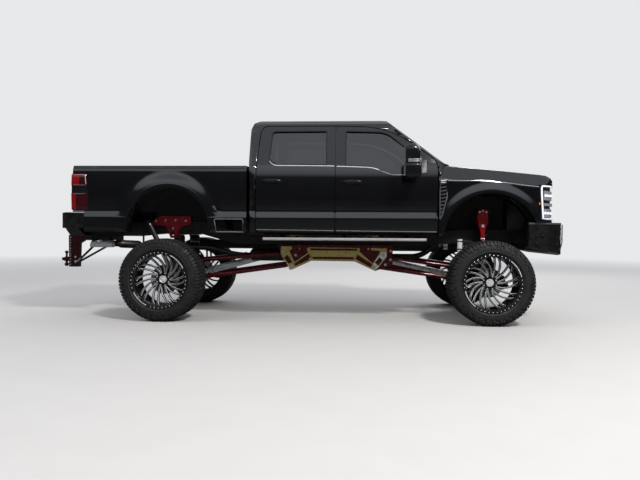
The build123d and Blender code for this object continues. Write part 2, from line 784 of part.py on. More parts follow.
def cab(fender):
    shell = cab_form() - cab_space() - door_holes() + door_pillar() - fender
    shell -= cross_prism(windshield_outline(), -1400, -300)
    shell -= cross_prism(rear_glass_outline(), cab_rear - 20, cab_rear + 90)
    return both(shell)


def door_skin():
    """The cab's left wall without the floor behind it, from which both doors are cut."""
    return cab_form() - cab_space() - block(cab_rear, 0, 0, door_inner_half, 1000, widest_z + 10)


def pull_handle(door, rear, front, z):
    """Adds a pull handle over its bowl to a door, between two x at one height."""
    skin = body_half_width - 24
    bowl = block(rear + 45, front - 45, skin - 16, skin + 60, z - 40, z + 34)
    grip = plan_prism(outline([(rear, skin), (rear + 26, skin + 34), (front - 26, skin + 34), (front, skin),
                               (front - 44, skin + 14), (rear + 44, skin + 14)]), z - 13, z + 15)
    ends = [block(x, x + 40, skin - 10, skin + 8, z - 13, z + 15) for x in (rear + 4, front - 44)]
    return (door - bowl) + grip + ends


hinge_levels = (crease_z - 78, crease_z + 302)
hinge_height = 70


def front_door(skin):
    """Left front door; its hinge blocks stand against the pillar ahead of it."""
    door = skin & side_prism(front_door_outline(), *window_reach)
    door -= side_prism(front_window(), *window_reach)
    reach = door_front + door_gap - seat_clearance
    low = door_inner_half + 15
    hinges = [block(door_front - 20, reach, low, low + 55, z, z + hinge_height) for z in hinge_levels]
    return pull_handle(door, -1808, -1567, belt_z - 209) + hinges


def rear_door(skin):
    """Left rear door; its hinge blocks stand on the pillar between the doors."""
    door = skin & side_prism(rear_door_outline(), *window_reach)
    door -= side_prism(rear_window(), *window_reach)
    edge = door_split - door_gap / 2
    low = door_inner_half - 7 + seat_clearance
    high = door_inner_half + 10
    hinges = [block(edge - 45, edge - 15, low, high, z, z + hinge_height) for z in hinge_levels]
    return pull_handle(door, -2810, -2566, belt_z - 198) + hinges


def glass_layer(x_low, x_high):
    """The slightly bent sheet that the side windows are cut from."""
    half = body_half_width
    outer = [(half - 2, belt_z - 120), (half - 139, belt_z + 256), (half - 252, roof_z - 155)]
    a, b = glass_inset, glass_inset + glass_thickness
    face = outline([(y - a, z) for y, z in outer] + [(y - b, z) for y, z in reversed(outer)])
    return cross_prism(face, x_low, x_high)


def door_glass(window):
    return glass_layer(cab_rear, -600) & side_prism(window, *window_reach)


def cab_glass():
    screen = windshield_form(glass_inset) - windshield_form(glass_inset + glass_thickness)
    screen &= cross_prism(windshield_outline(), -1400, -300)
    rear = cross_prism(rear_glass_outline(), cab_rear + glass_inset, cab_rear + glass_inset + glass_thickness)
    return screen + rear


# Inside the cab

def dashboard():
    x = firewall - cab_wall
    face = outline([(x, belt_z - 530), (x, belt_z - 70), (x - 60, belt_z - 35), (x - 250, belt_z - 45),
                    (x - 330, belt_z - 120), (x - 300, belt_z - 350), (x - 160, belt_z - 530)])
    return side_prism(face, 10 - door_inner_half, door_inner_half - 10)


def steering_wheel(dash):
    centre = Vector(-1130, 370, belt_z - 250)
    axis = Vector(-0.86, 0, 0.51)
    plane = Plane(origin=centre, x_dir=(0, 1, 0), z_dir=axis)
    rim = extrude(plane * (RegularPolygon(192, 20) - RegularPolygon(164, 20)), 24)
    arms = extrude(plane * (Rectangle(350, 34) + Pos(0, 80) * Rectangle(30, 170)), 12)
    hub = extrude(plane * RegularPolygon(60, 12), 24)
    column = bar(centre, centre - axis * 320, 26)
    return (rim + arms + hub + column) - dash


def seat_outline(x, height):
    """Side view of a seat: cushion, leaning back and headrest, from the cushion's front edge."""
    low = floor_z + seat_base
    return outline([
        (x, low), (x, low + 120), (x - 470, low + 105), (x - 560, height), (x - 590, height + 170),
        (x - 680, height + 170), (x - 700, height), (x - 640, low + 50), (x - 600, low),
    ])


def front_seats():
    outer = door_inner_half - 200
    seat = side_prism(seat_outline(-1180, belt_z + 110), 130, outer)
    base = block(-1700, -1260, 190, outer - 60, floor_z, floor_z + seat_base)
    return both(seat + base)


def rear_bench():
    x = -2180
    wide = door_inner_half - 110
    low = floor_z + seat_base
    room = block(x - 690, x, -wide, wide, low, belt_z + 350)
    seat = side_prism(seat_outline(x, belt_z + 100), -wide, wide) & room
    base = block(x - 560, x - 80, 80 - wide, wide - 80, floor_z, low)
    return seat + base


# Nose: hood, fenders, lamps and grille are cut from one form

# x, then heights above the belt line of the fender's shoulder, of the hood's side edge and of its crown
NOSE_SECTIONS = [
    (nose_rear, -193, 7, 79),
    (50, -239, -47, 2),
    (620, -277, -105, -84),
    (900, -295, -145, -128),
]
nose_bottom_z = sill_z + 25


def nose_form(inset):
    """Left half of the nose, made smaller by the inset on every side but the bottom and rear."""
    faces = []
    bottom = nose_bottom_z - 3 * inset
    wide = body_half_width - inset
    soft = inset / 3
    for x, shoulder, edge, crown in NOSE_SECTIONS:
        points = [
            (0, bottom), (wide - 6, bottom), (wide, widest_z), (wide - 4, belt_z + shoulder - soft),
            (wide - 37, belt_z + shoulder + 60 - soft), (hood_half + 5 - soft, belt_z + edge - inset),
            (hood_half - 263, belt_z + edge + 28 - inset), (hood_half - 363, belt_z + crown - 12 - inset),
            (0, belt_z + crown - inset),
        ]
        start = x - inset if x == nose_rear else x
        faces.append(Plane(origin=(start, 0, 0), x_dir=(0, 1, 0), z_dir=(1, 0, 0)) * outline(points))
    form = loft(faces, ruled=True)
    front = nose_x - inset
    rear = nose_rear - 2 * inset
    half = body_half_width
    plan = outline([(rear, 0), (front, 0), (front - 12, half - 452), (front - 60, half - 162),
                    (nose_x - 160 - inset / 2, half - 37 - inset / 2), (nose_x - 330, half + 28),
                    (rear, half + 28)],
                   [0, 0, 150, 100, 100, 0, 0])
    low = bottom - 1
    chin = nose_chin_z - 3 * inset
    side = outline([(rear, low), (430, low), (430, chin), (front, chin), (front - 8, belt_z - 260),
                    (front - 60, belt_z - 185 - inset), (600, belt_z - 50 - inset), (rear, belt_z + 150)],
                   [0, 0, 0, 0, 40, 60, 60, 0])
    return form & plan_prism(plan, 900, roof_z) & side_prism(side, 0, flare_half + 60)


def hood_space(gap):
    """The space above the engine that the hood covers, widened by the gap."""
    space = block(-700, nose_x + 10, 0, hood_half + gap, hood_lip_z - gap, roof_z)
    rear = plan_prism(Pos(windshield_centre, 0) * Circle(windshield_bow + 18 + cowl_gap), 1500, roof_z + 10)
    return space - rear if gap == 0 else space


def lamp_outline():
    return outline([(572, 1688), (747, 1724), (870, 1700), (870, 1268), (613, 1299)])


def grille_outline():
    half = lamp_inner - 16
    return outline([(0, 1275), (half, 1275), (half, 1732), (0, 1732)])


def hood():
    shell = (nose_form(0) - nose_form(hood_thickness)) & hood_space(0)
    striker = block(620, 650, 0, 15, support_z + support_height + seat_clearance, belt_z - 118)
    return both(shell + striker)


def arch_ring(x, z, radius, depth, y_low, y_high, bottom):
    """A half ring over a wheel, open below the given height."""
    span = radius + depth + 10
    ring = disc_y(x, z, radius + depth, y_low, y_high) - disc_y(x, z, radius, y_low, y_high)
    return ring & block(x - span, x + span, y_low, y_high, bottom, z + span)


def flare(x, z, radius, bottom):
    """The rounded edge of a wheel arch: it stands out at the arch and runs back into the body side."""
    back = body_half_width - panel
    profile = outline([
        (radius, back), (radius, flare_half - 12), (radius + flare_width / 2, flare_half),
        (radius + flare_width, flare_half - 4), (radius + flare_width + flare_slope, body_half_width - 4),
        (radius + flare_width + flare_slope, back),
    ])
    ring = Pos(x, 0, z) * revolve(Plane.XY * profile, Axis.Y)
    span = radius + flare_width + flare_slope + 10
    return ring & block(x - span, x + span, back - 1, flare_half + 1, bottom, z + span)


def vent_outline():
    """Side view of the vent behind the front wheel."""
    return outline([(nose_rear + 10, 1792), (-526, 1792), (-526, 1560), (-590, 1330), (-612, 1291),
                    (nose_rear + 10, 1291)])


def fender():
    """Left fender with its arch liner, flare and the nose panel round the lamps and grille."""
    shell = nose_form(0) - nose_form(panel) - hood_space(hood_gap)
    x, z, radius = front_arch_x, front_arch_z, front_arch_radius
    liner = arch_ring(x, z, radius, liner_thickness, wheelhouse_half, body_half_width - panel, nose_bottom_z)
    edge = flare(x, z, radius, nose_bottom_z)
    allowed = side_prism(outline([(nose_rear - 3, 1000), (430, 1000), (430, nose_chin_z), (900, nose_chin_z),
                                  (900, 1800), (nose_rear - 3, 1800)]), 0, flare_half + 60)
    shell = shell - disc_y(x, z, radius, wheelhouse_half, flare_half + 60) + ((liner + edge) & allowed)
    shell -= side_prism(vent_outline(), body_half_width - vent_depth - 4, flare_half + 60)
    shell -= side_prism(lamp_outline(), lamp_inner, flare_half + 60)
    return shell - cross_prism(grille_outline(), 700, 900)


def headlamps():
    """Lamps with two cells each, between a light bar behind them and one between them."""
    lamp = (nose_form(3) - nose_form(90)) & side_prism(lamp_outline(), lamp_inner, flare_half)
    core = nose_form(26)
    for low, high in ((1325, 1475), (1525, 1665)):
        face = outline([(665, low), (900, low), (900, high), (650, high)])
        lamp -= side_prism(face, lamp_inner + 40, flare_half) - core
    return both(lamp)


def grille():
    """Grille frame with three openings, each with its slats."""
    frame = (nose_form(2) - nose_form(60)) & cross_prism(grille_outline(), 700, 900)
    half = lamp_inner - 52
    slats = []
    for low, high in ((1310, 1420), (1450, 1560), (1590, 1700)):
        frame -= block(700, 900, -1, half, low, high)
        slats += [block(nose_x - 48, nose_x - 30, 0, half + 8, z, z + 10) for z in (low + 28, high - 38)]
    slats = joined(slats) & nose_form(14)
    return both(frame + slats)


def front_bumper():
    """Deep steel bumper whose ends sweep back to the wheels, with a lip on top and two shackle plates."""
    half = body_half_width
    plan = outline([(front_reach, 0), (front_reach - 5, half - 562), (front_reach - 110, half - 112),
                    (front_reach - 290, half - 12), (461, half - 7), (461, half - 107), (640, half - 107),
                    (760, half - 192), (bumper_back, half - 492), (bumper_back, 0)])
    top = front_bumper_top
    side = outline([(461, 950), (461, top), (front_reach - 30, top), (front_reach, top - 30),
                    (front_reach, 1020), (front_reach - 45, 845), (bumper_back, 875)])
    bumper = plan_prism(plan, 800, top) & side_prism(side, 0, half)
    lamp_slot = block(front_reach - 60, front_reach + 10, -1, half - 640, 1060, 1140)
    lip_top = nose_chin_z - 1
    lip = plan_prism(plan, top - 6, lip_top) & block(461, front_reach - 12, 0, half, top - 6, lip_top)
    shackle = side_prism(outline([(front_reach - 40, 930), (front_reach, 945), (front_reach, 1000),
                                  (front_reach - 30, 1010)]), half - 592, half - 560)
    return both(bumper - lamp_slot + lip + shackle)


# Bed

def bed_section():
    """Left half of the bed from behind: wall, floor and skirt."""
    half = body_half_width
    under = bed_floor_z - bed_floor_thickness
    lines = Polyline((0, bed_floor_z), (0, under), (bed_skin_inner, under), (bed_skin_inner, bed_bottom_z),
                     (half - 27, bed_bottom_z), (half - 6, bed_bottom_z + 20), (half, widest_z),
                     (half - 22, crease_z))
    arc = ThreePointArc((half - 22, crease_z), (half - 10, crease_z + 262), (half - 27, bed_rail_z - 45))
    top = Polyline((half - 27, bed_rail_z - 45), (half - 47, bed_rail_z), (bed_inner_half, bed_rail_z),
                   (bed_inner_half, bed_floor_z), (0, bed_floor_z))
    return make_face(Wire([*lines.edges(), *arc.edges(), *top.edges()]))


lamp_front = bed_rear + 205
lamp_rear = bed_rear - 25
lamp_low = crease_z + 4
lamp_high = bed_rail_z - 105
bed_end = bed_rear + 151       # the bumper wraps round the bed's corner behind this


def tail_lamp_space():
    half = body_half_width
    lamp_deep = half - 52
    inner = bed_inner_half + 35
    plan = outline([(lamp_front, half + 18), (lamp_rear, half + 18), (lamp_rear, inner),
                    (bed_rear + 20, inner), (bed_rear + 20, lamp_deep), (lamp_front, lamp_deep)])
    side = outline([(lamp_front - 13, lamp_low), (lamp_front, lamp_low + 218), (lamp_front - 33, lamp_high),
                    (lamp_rear - 5, lamp_high), (lamp_rear - 5, lamp_low)])
    return plan_prism(plan, lamp_low - 82, lamp_high + 60) & side_prism(side, bed_inner_half - 50, half + 28)


def step_outline():
    """Side view of the foot hold behind the cab, under the bed's crease."""
    return outline([(bed_front - 401, crease_z - 101), (bed_front - 40, crease_z - 101),
                    (bed_front - 40, bed_bottom_z - 10), (bed_front - 373, bed_bottom_z - 10)])


def splash_shield(top):
    """Panel under the left half of the bed's floor, which ends a little above the frame rail."""
    kinks = [(bed_front - 30, 0), *[(x, rise) for x, rise in RAIL_LINE if bed_rear + 110 < x < bed_front],
             (bed_rear + 110, rail_tail_rise)]
    lower = [(x, rail_top + rise + shield_gap) for x, rise in kinks]
    face = outline([*lower, (kinks[-1][0], top), (kinks[0][0], top)])
    return side_prism(face, rail_centre - 6, rail_centre + 6)


def bed():
    half = cross_prism(bed_section(), bed_rear, bed_front)
    half += block(bed_front - headboard, bed_front, 0, bed_inner_half, bed_floor_z, bed_rail_z)
    x, z, radius = rear_arch_x, rear_arch_z, rear_arch_radius
    outer = radius + house_thickness
    bottom = bed_floor_z - bed_floor_thickness
    half += arch_ring(x, z, radius, house_thickness, wheelhouse_half, bed_skin_inner, bottom)
    half += arch_ring(x, z, radius, house_thickness, bed_skin_inner - 100, bed_skin_inner, bed_bottom_z)
    end = disc_y(x, z, outer, wheelhouse_half, wheelhouse_half + 20)
    half += end & block(x - outer, x + outer, wheelhouse_half, wheelhouse_half + 20, bottom, z + outer)
    half += flare(x, z, radius, bed_bottom_z)
    half -= disc_y(x, z, radius, wheelhouse_half + 20, flare_half + 60)
    half -= block(bed_rear, bed_end, bed_inner_half, flare_half, bed_bottom_z - 10, rear_bumper_top + 6)
    half -= block(bed_rear - 10, bed_rear + tailgate_thickness + tailgate_gap, 0, bed_inner_half, bottom - 5,
                  bed_rail_z + 10)
    half -= side_prism(step_outline(), bed_skin_inner - 50, flare_half + 60)
    half += block(bed_front - 380, bed_front - 35, bed_skin_inner - 110, body_half_width - 30, bed_bottom_z,
                  bed_bottom_z + 18)
    half += splash_shield(bottom)
    half -= tail_lamp_space()
    for sill_x, rail_z in ((bed_front - 143, rail_top), (bed_front - 1513, None),
                           (bed_front - 2053, rail_top + rail_tail_rise)):
        half += block(sill_x - 35, sill_x + 35, 0, wheelhouse_half, bottom - sill_height, bottom)
        if rail_z:
            half += block(sill_x - 35, sill_x + 35, rail_inner, rail_outer, rail_z, bottom - sill_height)
    return both(half)


def tail_lamps():
    half = body_half_width
    skin = cross_prism(outline([
        (bed_inner_half + 30, lamp_low - 32), (half - 12, lamp_low - 32), (half - 18, lamp_low - 4),
        (half - 6, lamp_low + 258), (half - 22, lamp_high + 60), (bed_inner_half + 30, lamp_high + 60),
    ]), lamp_rear, lamp_front + 27)
    band = block(lamp_rear - 1, lamp_front + 27, half - 16, half + 28, lamp_low + 207, lamp_low + 319)
    return both((tail_lamp_space() & skin) - band)


def tailgate():
    """Tailgate with a recess round its handle; it turns on two pins."""
    wide = bed_inner_half - tailgate_gap
    low = bed_floor_z - 10
    gate = block(bed_rear, bed_rear + tailgate_thickness, 0, wide, low, bed_rail_z - 5)
    gate -= block(bed_rear - 1, bed_rear + 14, -1, 150, bed_rail_z - 175, bed_rail_z - 75)
    gate += block(bed_rear, bed_rear + 16, 0, 110, bed_rail_z - 135, bed_rail_z - 95)
    pin = disc_y(bed_rear + 20, bed_floor_z + 5, 12, wide - 5, bed_inner_half - seat_clearance)
    return both(gate + pin)


def rear_bumper():
    """Rear bumper that wraps round the bed's corners, with its step lower in the middle."""
    back = rear_bumper_back
    half = body_half_width
    end = bed_rear - rear_bumper_depth
    plan = outline([(bed_end, half), (end + 112, half), (end + 40, half - 92), (end - 8, half - 412),
                    (end - 8, 0), (back, 0), (back, half - 72), (bed_end, half - 72)])
    low = bed_bottom_z + 43
    face = outline([(0, low - 100), (half - 392, low - 100), (half - 192, low), (half + 8, low),
                    (half + 8, rear_bumper_top), (0, rear_bumper_top)])
    return both(plan_prism(plan, low - 150, rear_bumper_top + 10) & cross_prism(face, end - 20, bed_end + 10))


def ball(x, z, radius):
    """A towing ball with its flats."""
    shares = ((-0.9, 0.5), (-0.4, 1), (0.4, 1), (0.9, 0.5))
    return turned((x, 0, z), (0, 0, 1), [(radius * along, radius * across) for along, across in shares])


def hitch():
    """Receiver, drop plate and a ball mount with a ball above and one below."""
    tail_bottom = rail_bottom + rail_tail_rise
    high = tail_bottom + 13
    end = rear_axle - rear_reach
    plate_rear = end + 107
    ball_x = end + 55
    shank_low = hitch_drop_z + 90
    shank_high = shank_low + 45
    cross = block(rail_rear_end + 10, rail_rear_end + 90, -rail_outer, rail_outer, tail_bottom - 60,
                  tail_bottom)
    tube = block(plate_rear + 186, rail_rear_end + 90, -35, 35, tail_bottom - 62, tail_bottom + 6)
    plate = side_prism(outline([
        (plate_rear + 216, high), (plate_rear + 216, high - 83), (plate_rear + 156, high - 118),
        (plate_rear + 144, hitch_drop_z), (plate_rear, hitch_drop_z), (plate_rear - 5, high),
    ]), -42, 42)
    shank = block(end, plate_rear, -38, 38, shank_low, shank_high)
    necks = bar((ball_x, 0, shank_low - 40), (ball_x, 0, shank_high + 60), 20)
    balls = ball(ball_x, shank_high + 75, 25) + ball(ball_x, shank_low - 54, 30)
    brace = bar((plate_rear + 116, 30, hitch_drop_z + 68), (rail_rear_end + 60, 330, tail_bottom - 60), 15, 8)
    return cross + tube + plate + shank + necks + balls + both(brace)


def steps():
    """Running boards on three arms each, bevelled along their outer edge."""
    low = sill_z - 50
    inner = body_half_width - 62
    board = cross_prism(outline([(inner, low + 40), (inner, low), (inner + 80, low), (inner + 110, low + 14),
                                 (inner + 104, low + 40)]), -2793, -775)
    arms = [block(x - 25, x + 25, rail_outer, inner + 5, low + 5, low + 35) for x in (-1000, -1784, -2570)]
    return both(board + arms)


def mirror_left(door):
    """Tall towing mirror on two arms, seated on the left front door."""
    near = body_half_width + 118
    head = side_prism(outline([
        (-889, belt_z - 20), (-889, belt_z + 150), (-910, belt_z + 196), (-960, belt_z + 218),
        (-1040, belt_z + 205), (-1065, belt_z + 170), (-1065, belt_z - 20),
    ]), near, near + 240)
    lower = side_prism(outline([
        (-880, belt_z - 20), (-875, belt_z - 130), (-910, belt_z - 176), (-1030, belt_z - 181),
        (-1068, belt_z - 150), (-1065, belt_z - 20),
    ]), near + 6, near + 234)
    glass = block(-1075, -1050, near + 18, near + 222, belt_z - 5, belt_z + 175)
    half = body_half_width
    arms = [block(-990, -840, half - 6, near + 20, z, z + 36) for z in (belt_z - 60, belt_z + 20)]
    foot = plan_prism(outline([(-850, half - 60), (-770, half - 60), (-780, half - 17), (-830, half + 20),
                               (-850, half + 20)]), belt_z - 100, belt_z + 70)
    return ((head - glass) + lower + arms + foot) - door


def export(name, piece):
    export_step(Pos(-origin_x, 0, 0) * piece, f"parts/{name}.step")


def main():
    os.makedirs("parts", exist_ok=True)
    rubber = tyre()
    rim = wheel()
    for name, axle_x, side in (("front_left", 0, 1), ("front_right", 0, -1),
                               ("rear_left", rear_axle, 1), ("rear_right", rear_axle, -1)):
        export(f"wheel_{name}", place_wheel(rim, axle_x, side))
        export(f"tyre_{name}", place_wheel(rubber, axle_x, side))

    skin = door_skin()
    left_fender = fender()
    doors = {"front_door": front_door(skin), "rear_door": rear_door(skin)}
    paired = {
        "knuckle": knuckle(),
        **doors,
        "front_door_glass": door_glass(front_window()),
        "rear_door_glass": door_glass(rear_window()),
        "mirror": mirror_left(doors["front_door"]),
    }
    for name, piece in paired.items():
        export(f"{name}_left", piece)
        export(f"{name}_right", mirrored(piece))

    driven = {"front_axle": front_axle(), "rear_axle": rear_axle_beam(), "gearbox": gearbox()}
    single = {
        **driven,
        "frame_rails": frame_rails(),
        "crossmembers": crossmembers(),
        "tie_rod": tie_rod(),
        "suspension_links": suspension_links(),
        "link_mounts": link_mounts(),
        "link_mount_faces": link_mount_faces(),
        "air_springs": air_springs(),
        "spring_towers": spring_towers(),
        "shocks": shocks(),
        "engine": engine(),
        "radiator": radiator(),
        "driveshafts": driveshafts(list(driven.values())),
        "fuel_tank": fuel_tank(),
        "exhaust": exhaust(),
        "cab": cab(left_fender),
        "cab_glass": cab_glass(),
        "dashboard": dashboard(),
        "steering_wheel": steering_wheel(dashboard()),
        "front_seats": front_seats(),
        "rear_bench": rear_bench(),
        "hood": hood(),
        "fenders": both(left_fender),
        "headlamps": headlamps(),
        "grille": grille(),
        "front_bumper": front_bumper(),
        "bed": bed(),
        "tail_lamps": tail_lamps(),
        "tailgate": tailgate(),
        "rear_bumper": rear_bumper(),
        "hitch": hitch(),
        "steps": steps(),
    }
    for name, piece in single.items():
        export(name, piece)


main()
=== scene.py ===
"""Looks of the lifted four-door pickup truck, built round its solids.

Places are in millimetres from the front axle and the ground, with +X to the nose and +Y to the
truck's left, as in the part's own source. at() turns them into metres in the row frame.
"""
import bmesh
import bpy
import json
import math
from collections import Counter
from mathutils import Matrix, Vector
from mathutils.geometry import delaunay_2d_cdt


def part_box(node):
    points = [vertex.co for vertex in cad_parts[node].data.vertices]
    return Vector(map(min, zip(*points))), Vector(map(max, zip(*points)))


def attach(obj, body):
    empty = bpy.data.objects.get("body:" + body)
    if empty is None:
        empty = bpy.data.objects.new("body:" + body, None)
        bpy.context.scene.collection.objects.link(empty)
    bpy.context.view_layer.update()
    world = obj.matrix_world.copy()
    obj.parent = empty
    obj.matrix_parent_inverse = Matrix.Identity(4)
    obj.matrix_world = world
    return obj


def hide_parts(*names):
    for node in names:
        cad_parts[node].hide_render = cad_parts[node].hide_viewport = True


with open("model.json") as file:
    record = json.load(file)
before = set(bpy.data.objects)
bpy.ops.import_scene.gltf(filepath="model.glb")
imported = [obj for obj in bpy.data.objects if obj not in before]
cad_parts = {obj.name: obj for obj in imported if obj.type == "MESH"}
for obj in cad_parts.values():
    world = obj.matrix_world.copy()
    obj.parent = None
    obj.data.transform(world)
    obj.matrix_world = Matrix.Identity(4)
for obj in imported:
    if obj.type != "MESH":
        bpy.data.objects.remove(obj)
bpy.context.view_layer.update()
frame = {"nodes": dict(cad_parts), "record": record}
NODES = frame["nodes"]

MM = 0.001


def middle(node):
    """The middle of a solid's box, in metres."""
    low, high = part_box(node)
    return (low + high) / 2


AXLE = middle("wheel_front_left")
REAR_AXLE_X = (middle("wheel_rear_left").x - AXLE.x) / MM
WHEEL_Y = AXLE.y / MM
WHEEL_Z = AXLE.z / MM
SIDES = {"left": 1, "right": -1}
ORIGIN = (0, 0, 0)
AHEAD, BACK = (1, 0, 0), (-1, 0, 0)
LEFT, RIGHT = (0, 1, 0), (0, -1, 0)
UP, DOWN = (0, 0, 1), (0, 0, -1)


def at(x, y, z):
    """A place in millimetres from the front axle, as a point of the row frame in metres."""
    return Vector((AXLE.x + x * MM, y * MM, z * MM))


# Materials

def new_material(name):
    """A material with its nodes, its links and its shader."""
    made = bpy.data.materials.new(name)
    made.use_nodes = True
    return made, made.node_tree.nodes, made.node_tree.links, made.node_tree.nodes["Principled BSDF"]


def noise_of(nodes, links, scale, detail=4.0, stretch=(1, 1, 1)):
    """A noise texture in object space, in metres."""
    where = nodes.new("ShaderNodeTexCoord")
    mapping = nodes.new("ShaderNodeMapping")
    mapping.inputs["Scale"].default_value = stretch
    noise = nodes.new("ShaderNodeTexNoise")
    noise.inputs["Scale"].default_value = scale
    noise.inputs["Detail"].default_value = detail
    links.new(where.outputs["Object"], mapping.inputs["Vector"])
    links.new(mapping.outputs["Vector"], noise.inputs["Vector"])
    return noise.outputs["Fac"]


def spread(nodes, links, value, low, high, start=0.3, end=0.7):
    """Maps a noise value from start..end to low..high."""
    ramp = nodes.new("ShaderNodeMapRange")
    ramp.inputs["From Min"].default_value = start
    ramp.inputs["From Max"].default_value = end
    ramp.inputs["To Min"].default_value = low
    ramp.inputs["To Max"].default_value = high
    links.new(value, ramp.inputs["Value"])
    return ramp.outputs["Result"]


def mixed(nodes, links, share, first, second):
    """Mixes two colours, each a colour or a socket."""
    mix = nodes.new("ShaderNodeMix")
    mix.data_type = "RGBA"
    links.new(share, mix.inputs["Factor"])
    for socket, colour in ((mix.inputs[6], first), (mix.inputs[7], second)):
        if isinstance(colour, tuple):
            socket.default_value = (*colour, 1)
        else:
            links.new(colour, socket)
    return mix.outputs[2]


# Colour of the dust, and the scale of its patches
DUST = (0.20, 0.17, 0.13)
DUST_GRAIN = 7


def surface(name, colour, rough, metal=0.0, vary=0.15, grain=18, bump=0.0, bump_grain=400, coat=0.0,
            dust=0.0, stretch=(1, 1, 1), rough_vary=0.25, ior=1.5):
    """A finish with uneven colour, uneven roughness, a fine grain and dust in patches."""
    made, nodes, links, shader = new_material(name)
    broad = noise_of(nodes, links, grain, 5, stretch)
    low = tuple(c * (1 - vary) for c in colour)
    high = tuple(min(1, c * (1 + vary)) for c in colour)
    shade = mixed(nodes, links, spread(nodes, links, broad, 0, 1), low, high)
    if dust:
        patch = noise_of(nodes, links, DUST_GRAIN, 8)
        amount = spread(nodes, links, patch, 0, dust, 0.45, 0.75)
        shade = mixed(nodes, links, amount, shade, DUST)
    links.new(shade, shader.inputs["Base Color"])
    links.new(spread(nodes, links, broad, rough * (1 - rough_vary), rough * (1 + rough_vary)),
              shader.inputs["Roughness"])
    shader.inputs["Metallic"].default_value = metal
    shader.inputs["IOR"].default_value = ior
    shader.inputs["Coat Weight"].default_value = coat
    shader.inputs["Coat Roughness"].default_value = 0.04
    if bump:
        fine = noise_of(nodes, links, bump_grain, 3, stretch)
        relief = nodes.new("ShaderNodeBump")
        relief.inputs["Strength"].default_value = bump
        relief.inputs["Distance"].default_value = MM
        links.new(fine, relief.inputs["Height"])
        links.new(relief.outputs["Normal"], shader.inputs["Normal"])
    return made


def glass_material(name, colour, rough=0.02):
    """Tinted glass with a faint smear."""
    made, nodes, links, shader = new_material(name)
    smear = noise_of(nodes, links, 6, 6)
    links.new(spread(nodes, links, smear, rough, rough * 3), shader.inputs["Roughness"])
    shader.inputs["Base Color"].default_value = (*colour, 1)
    shader.inputs["Transmission Weight"].default_value = 1
    shader.inputs["IOR"].default_value = 2.0
    return made


def glow_material(name, colour, strength):
    """A light guide: milky plastic with a faint glow and fine ribs."""
    made, nodes, links, shader = new_material(name)
    ribs = noise_of(nodes, links, 90, 2)
    links.new(mixed(nodes, links, ribs, tuple(c * 0.8 for c in colour), colour), shader.inputs["Base Color"])
    shader.inputs["Roughness"].default_value = 0.2
    shader.inputs["Emission Color"].default_value = (*colour, 1)
    shader.inputs["Emission Strength"].default_value = strength
    return made


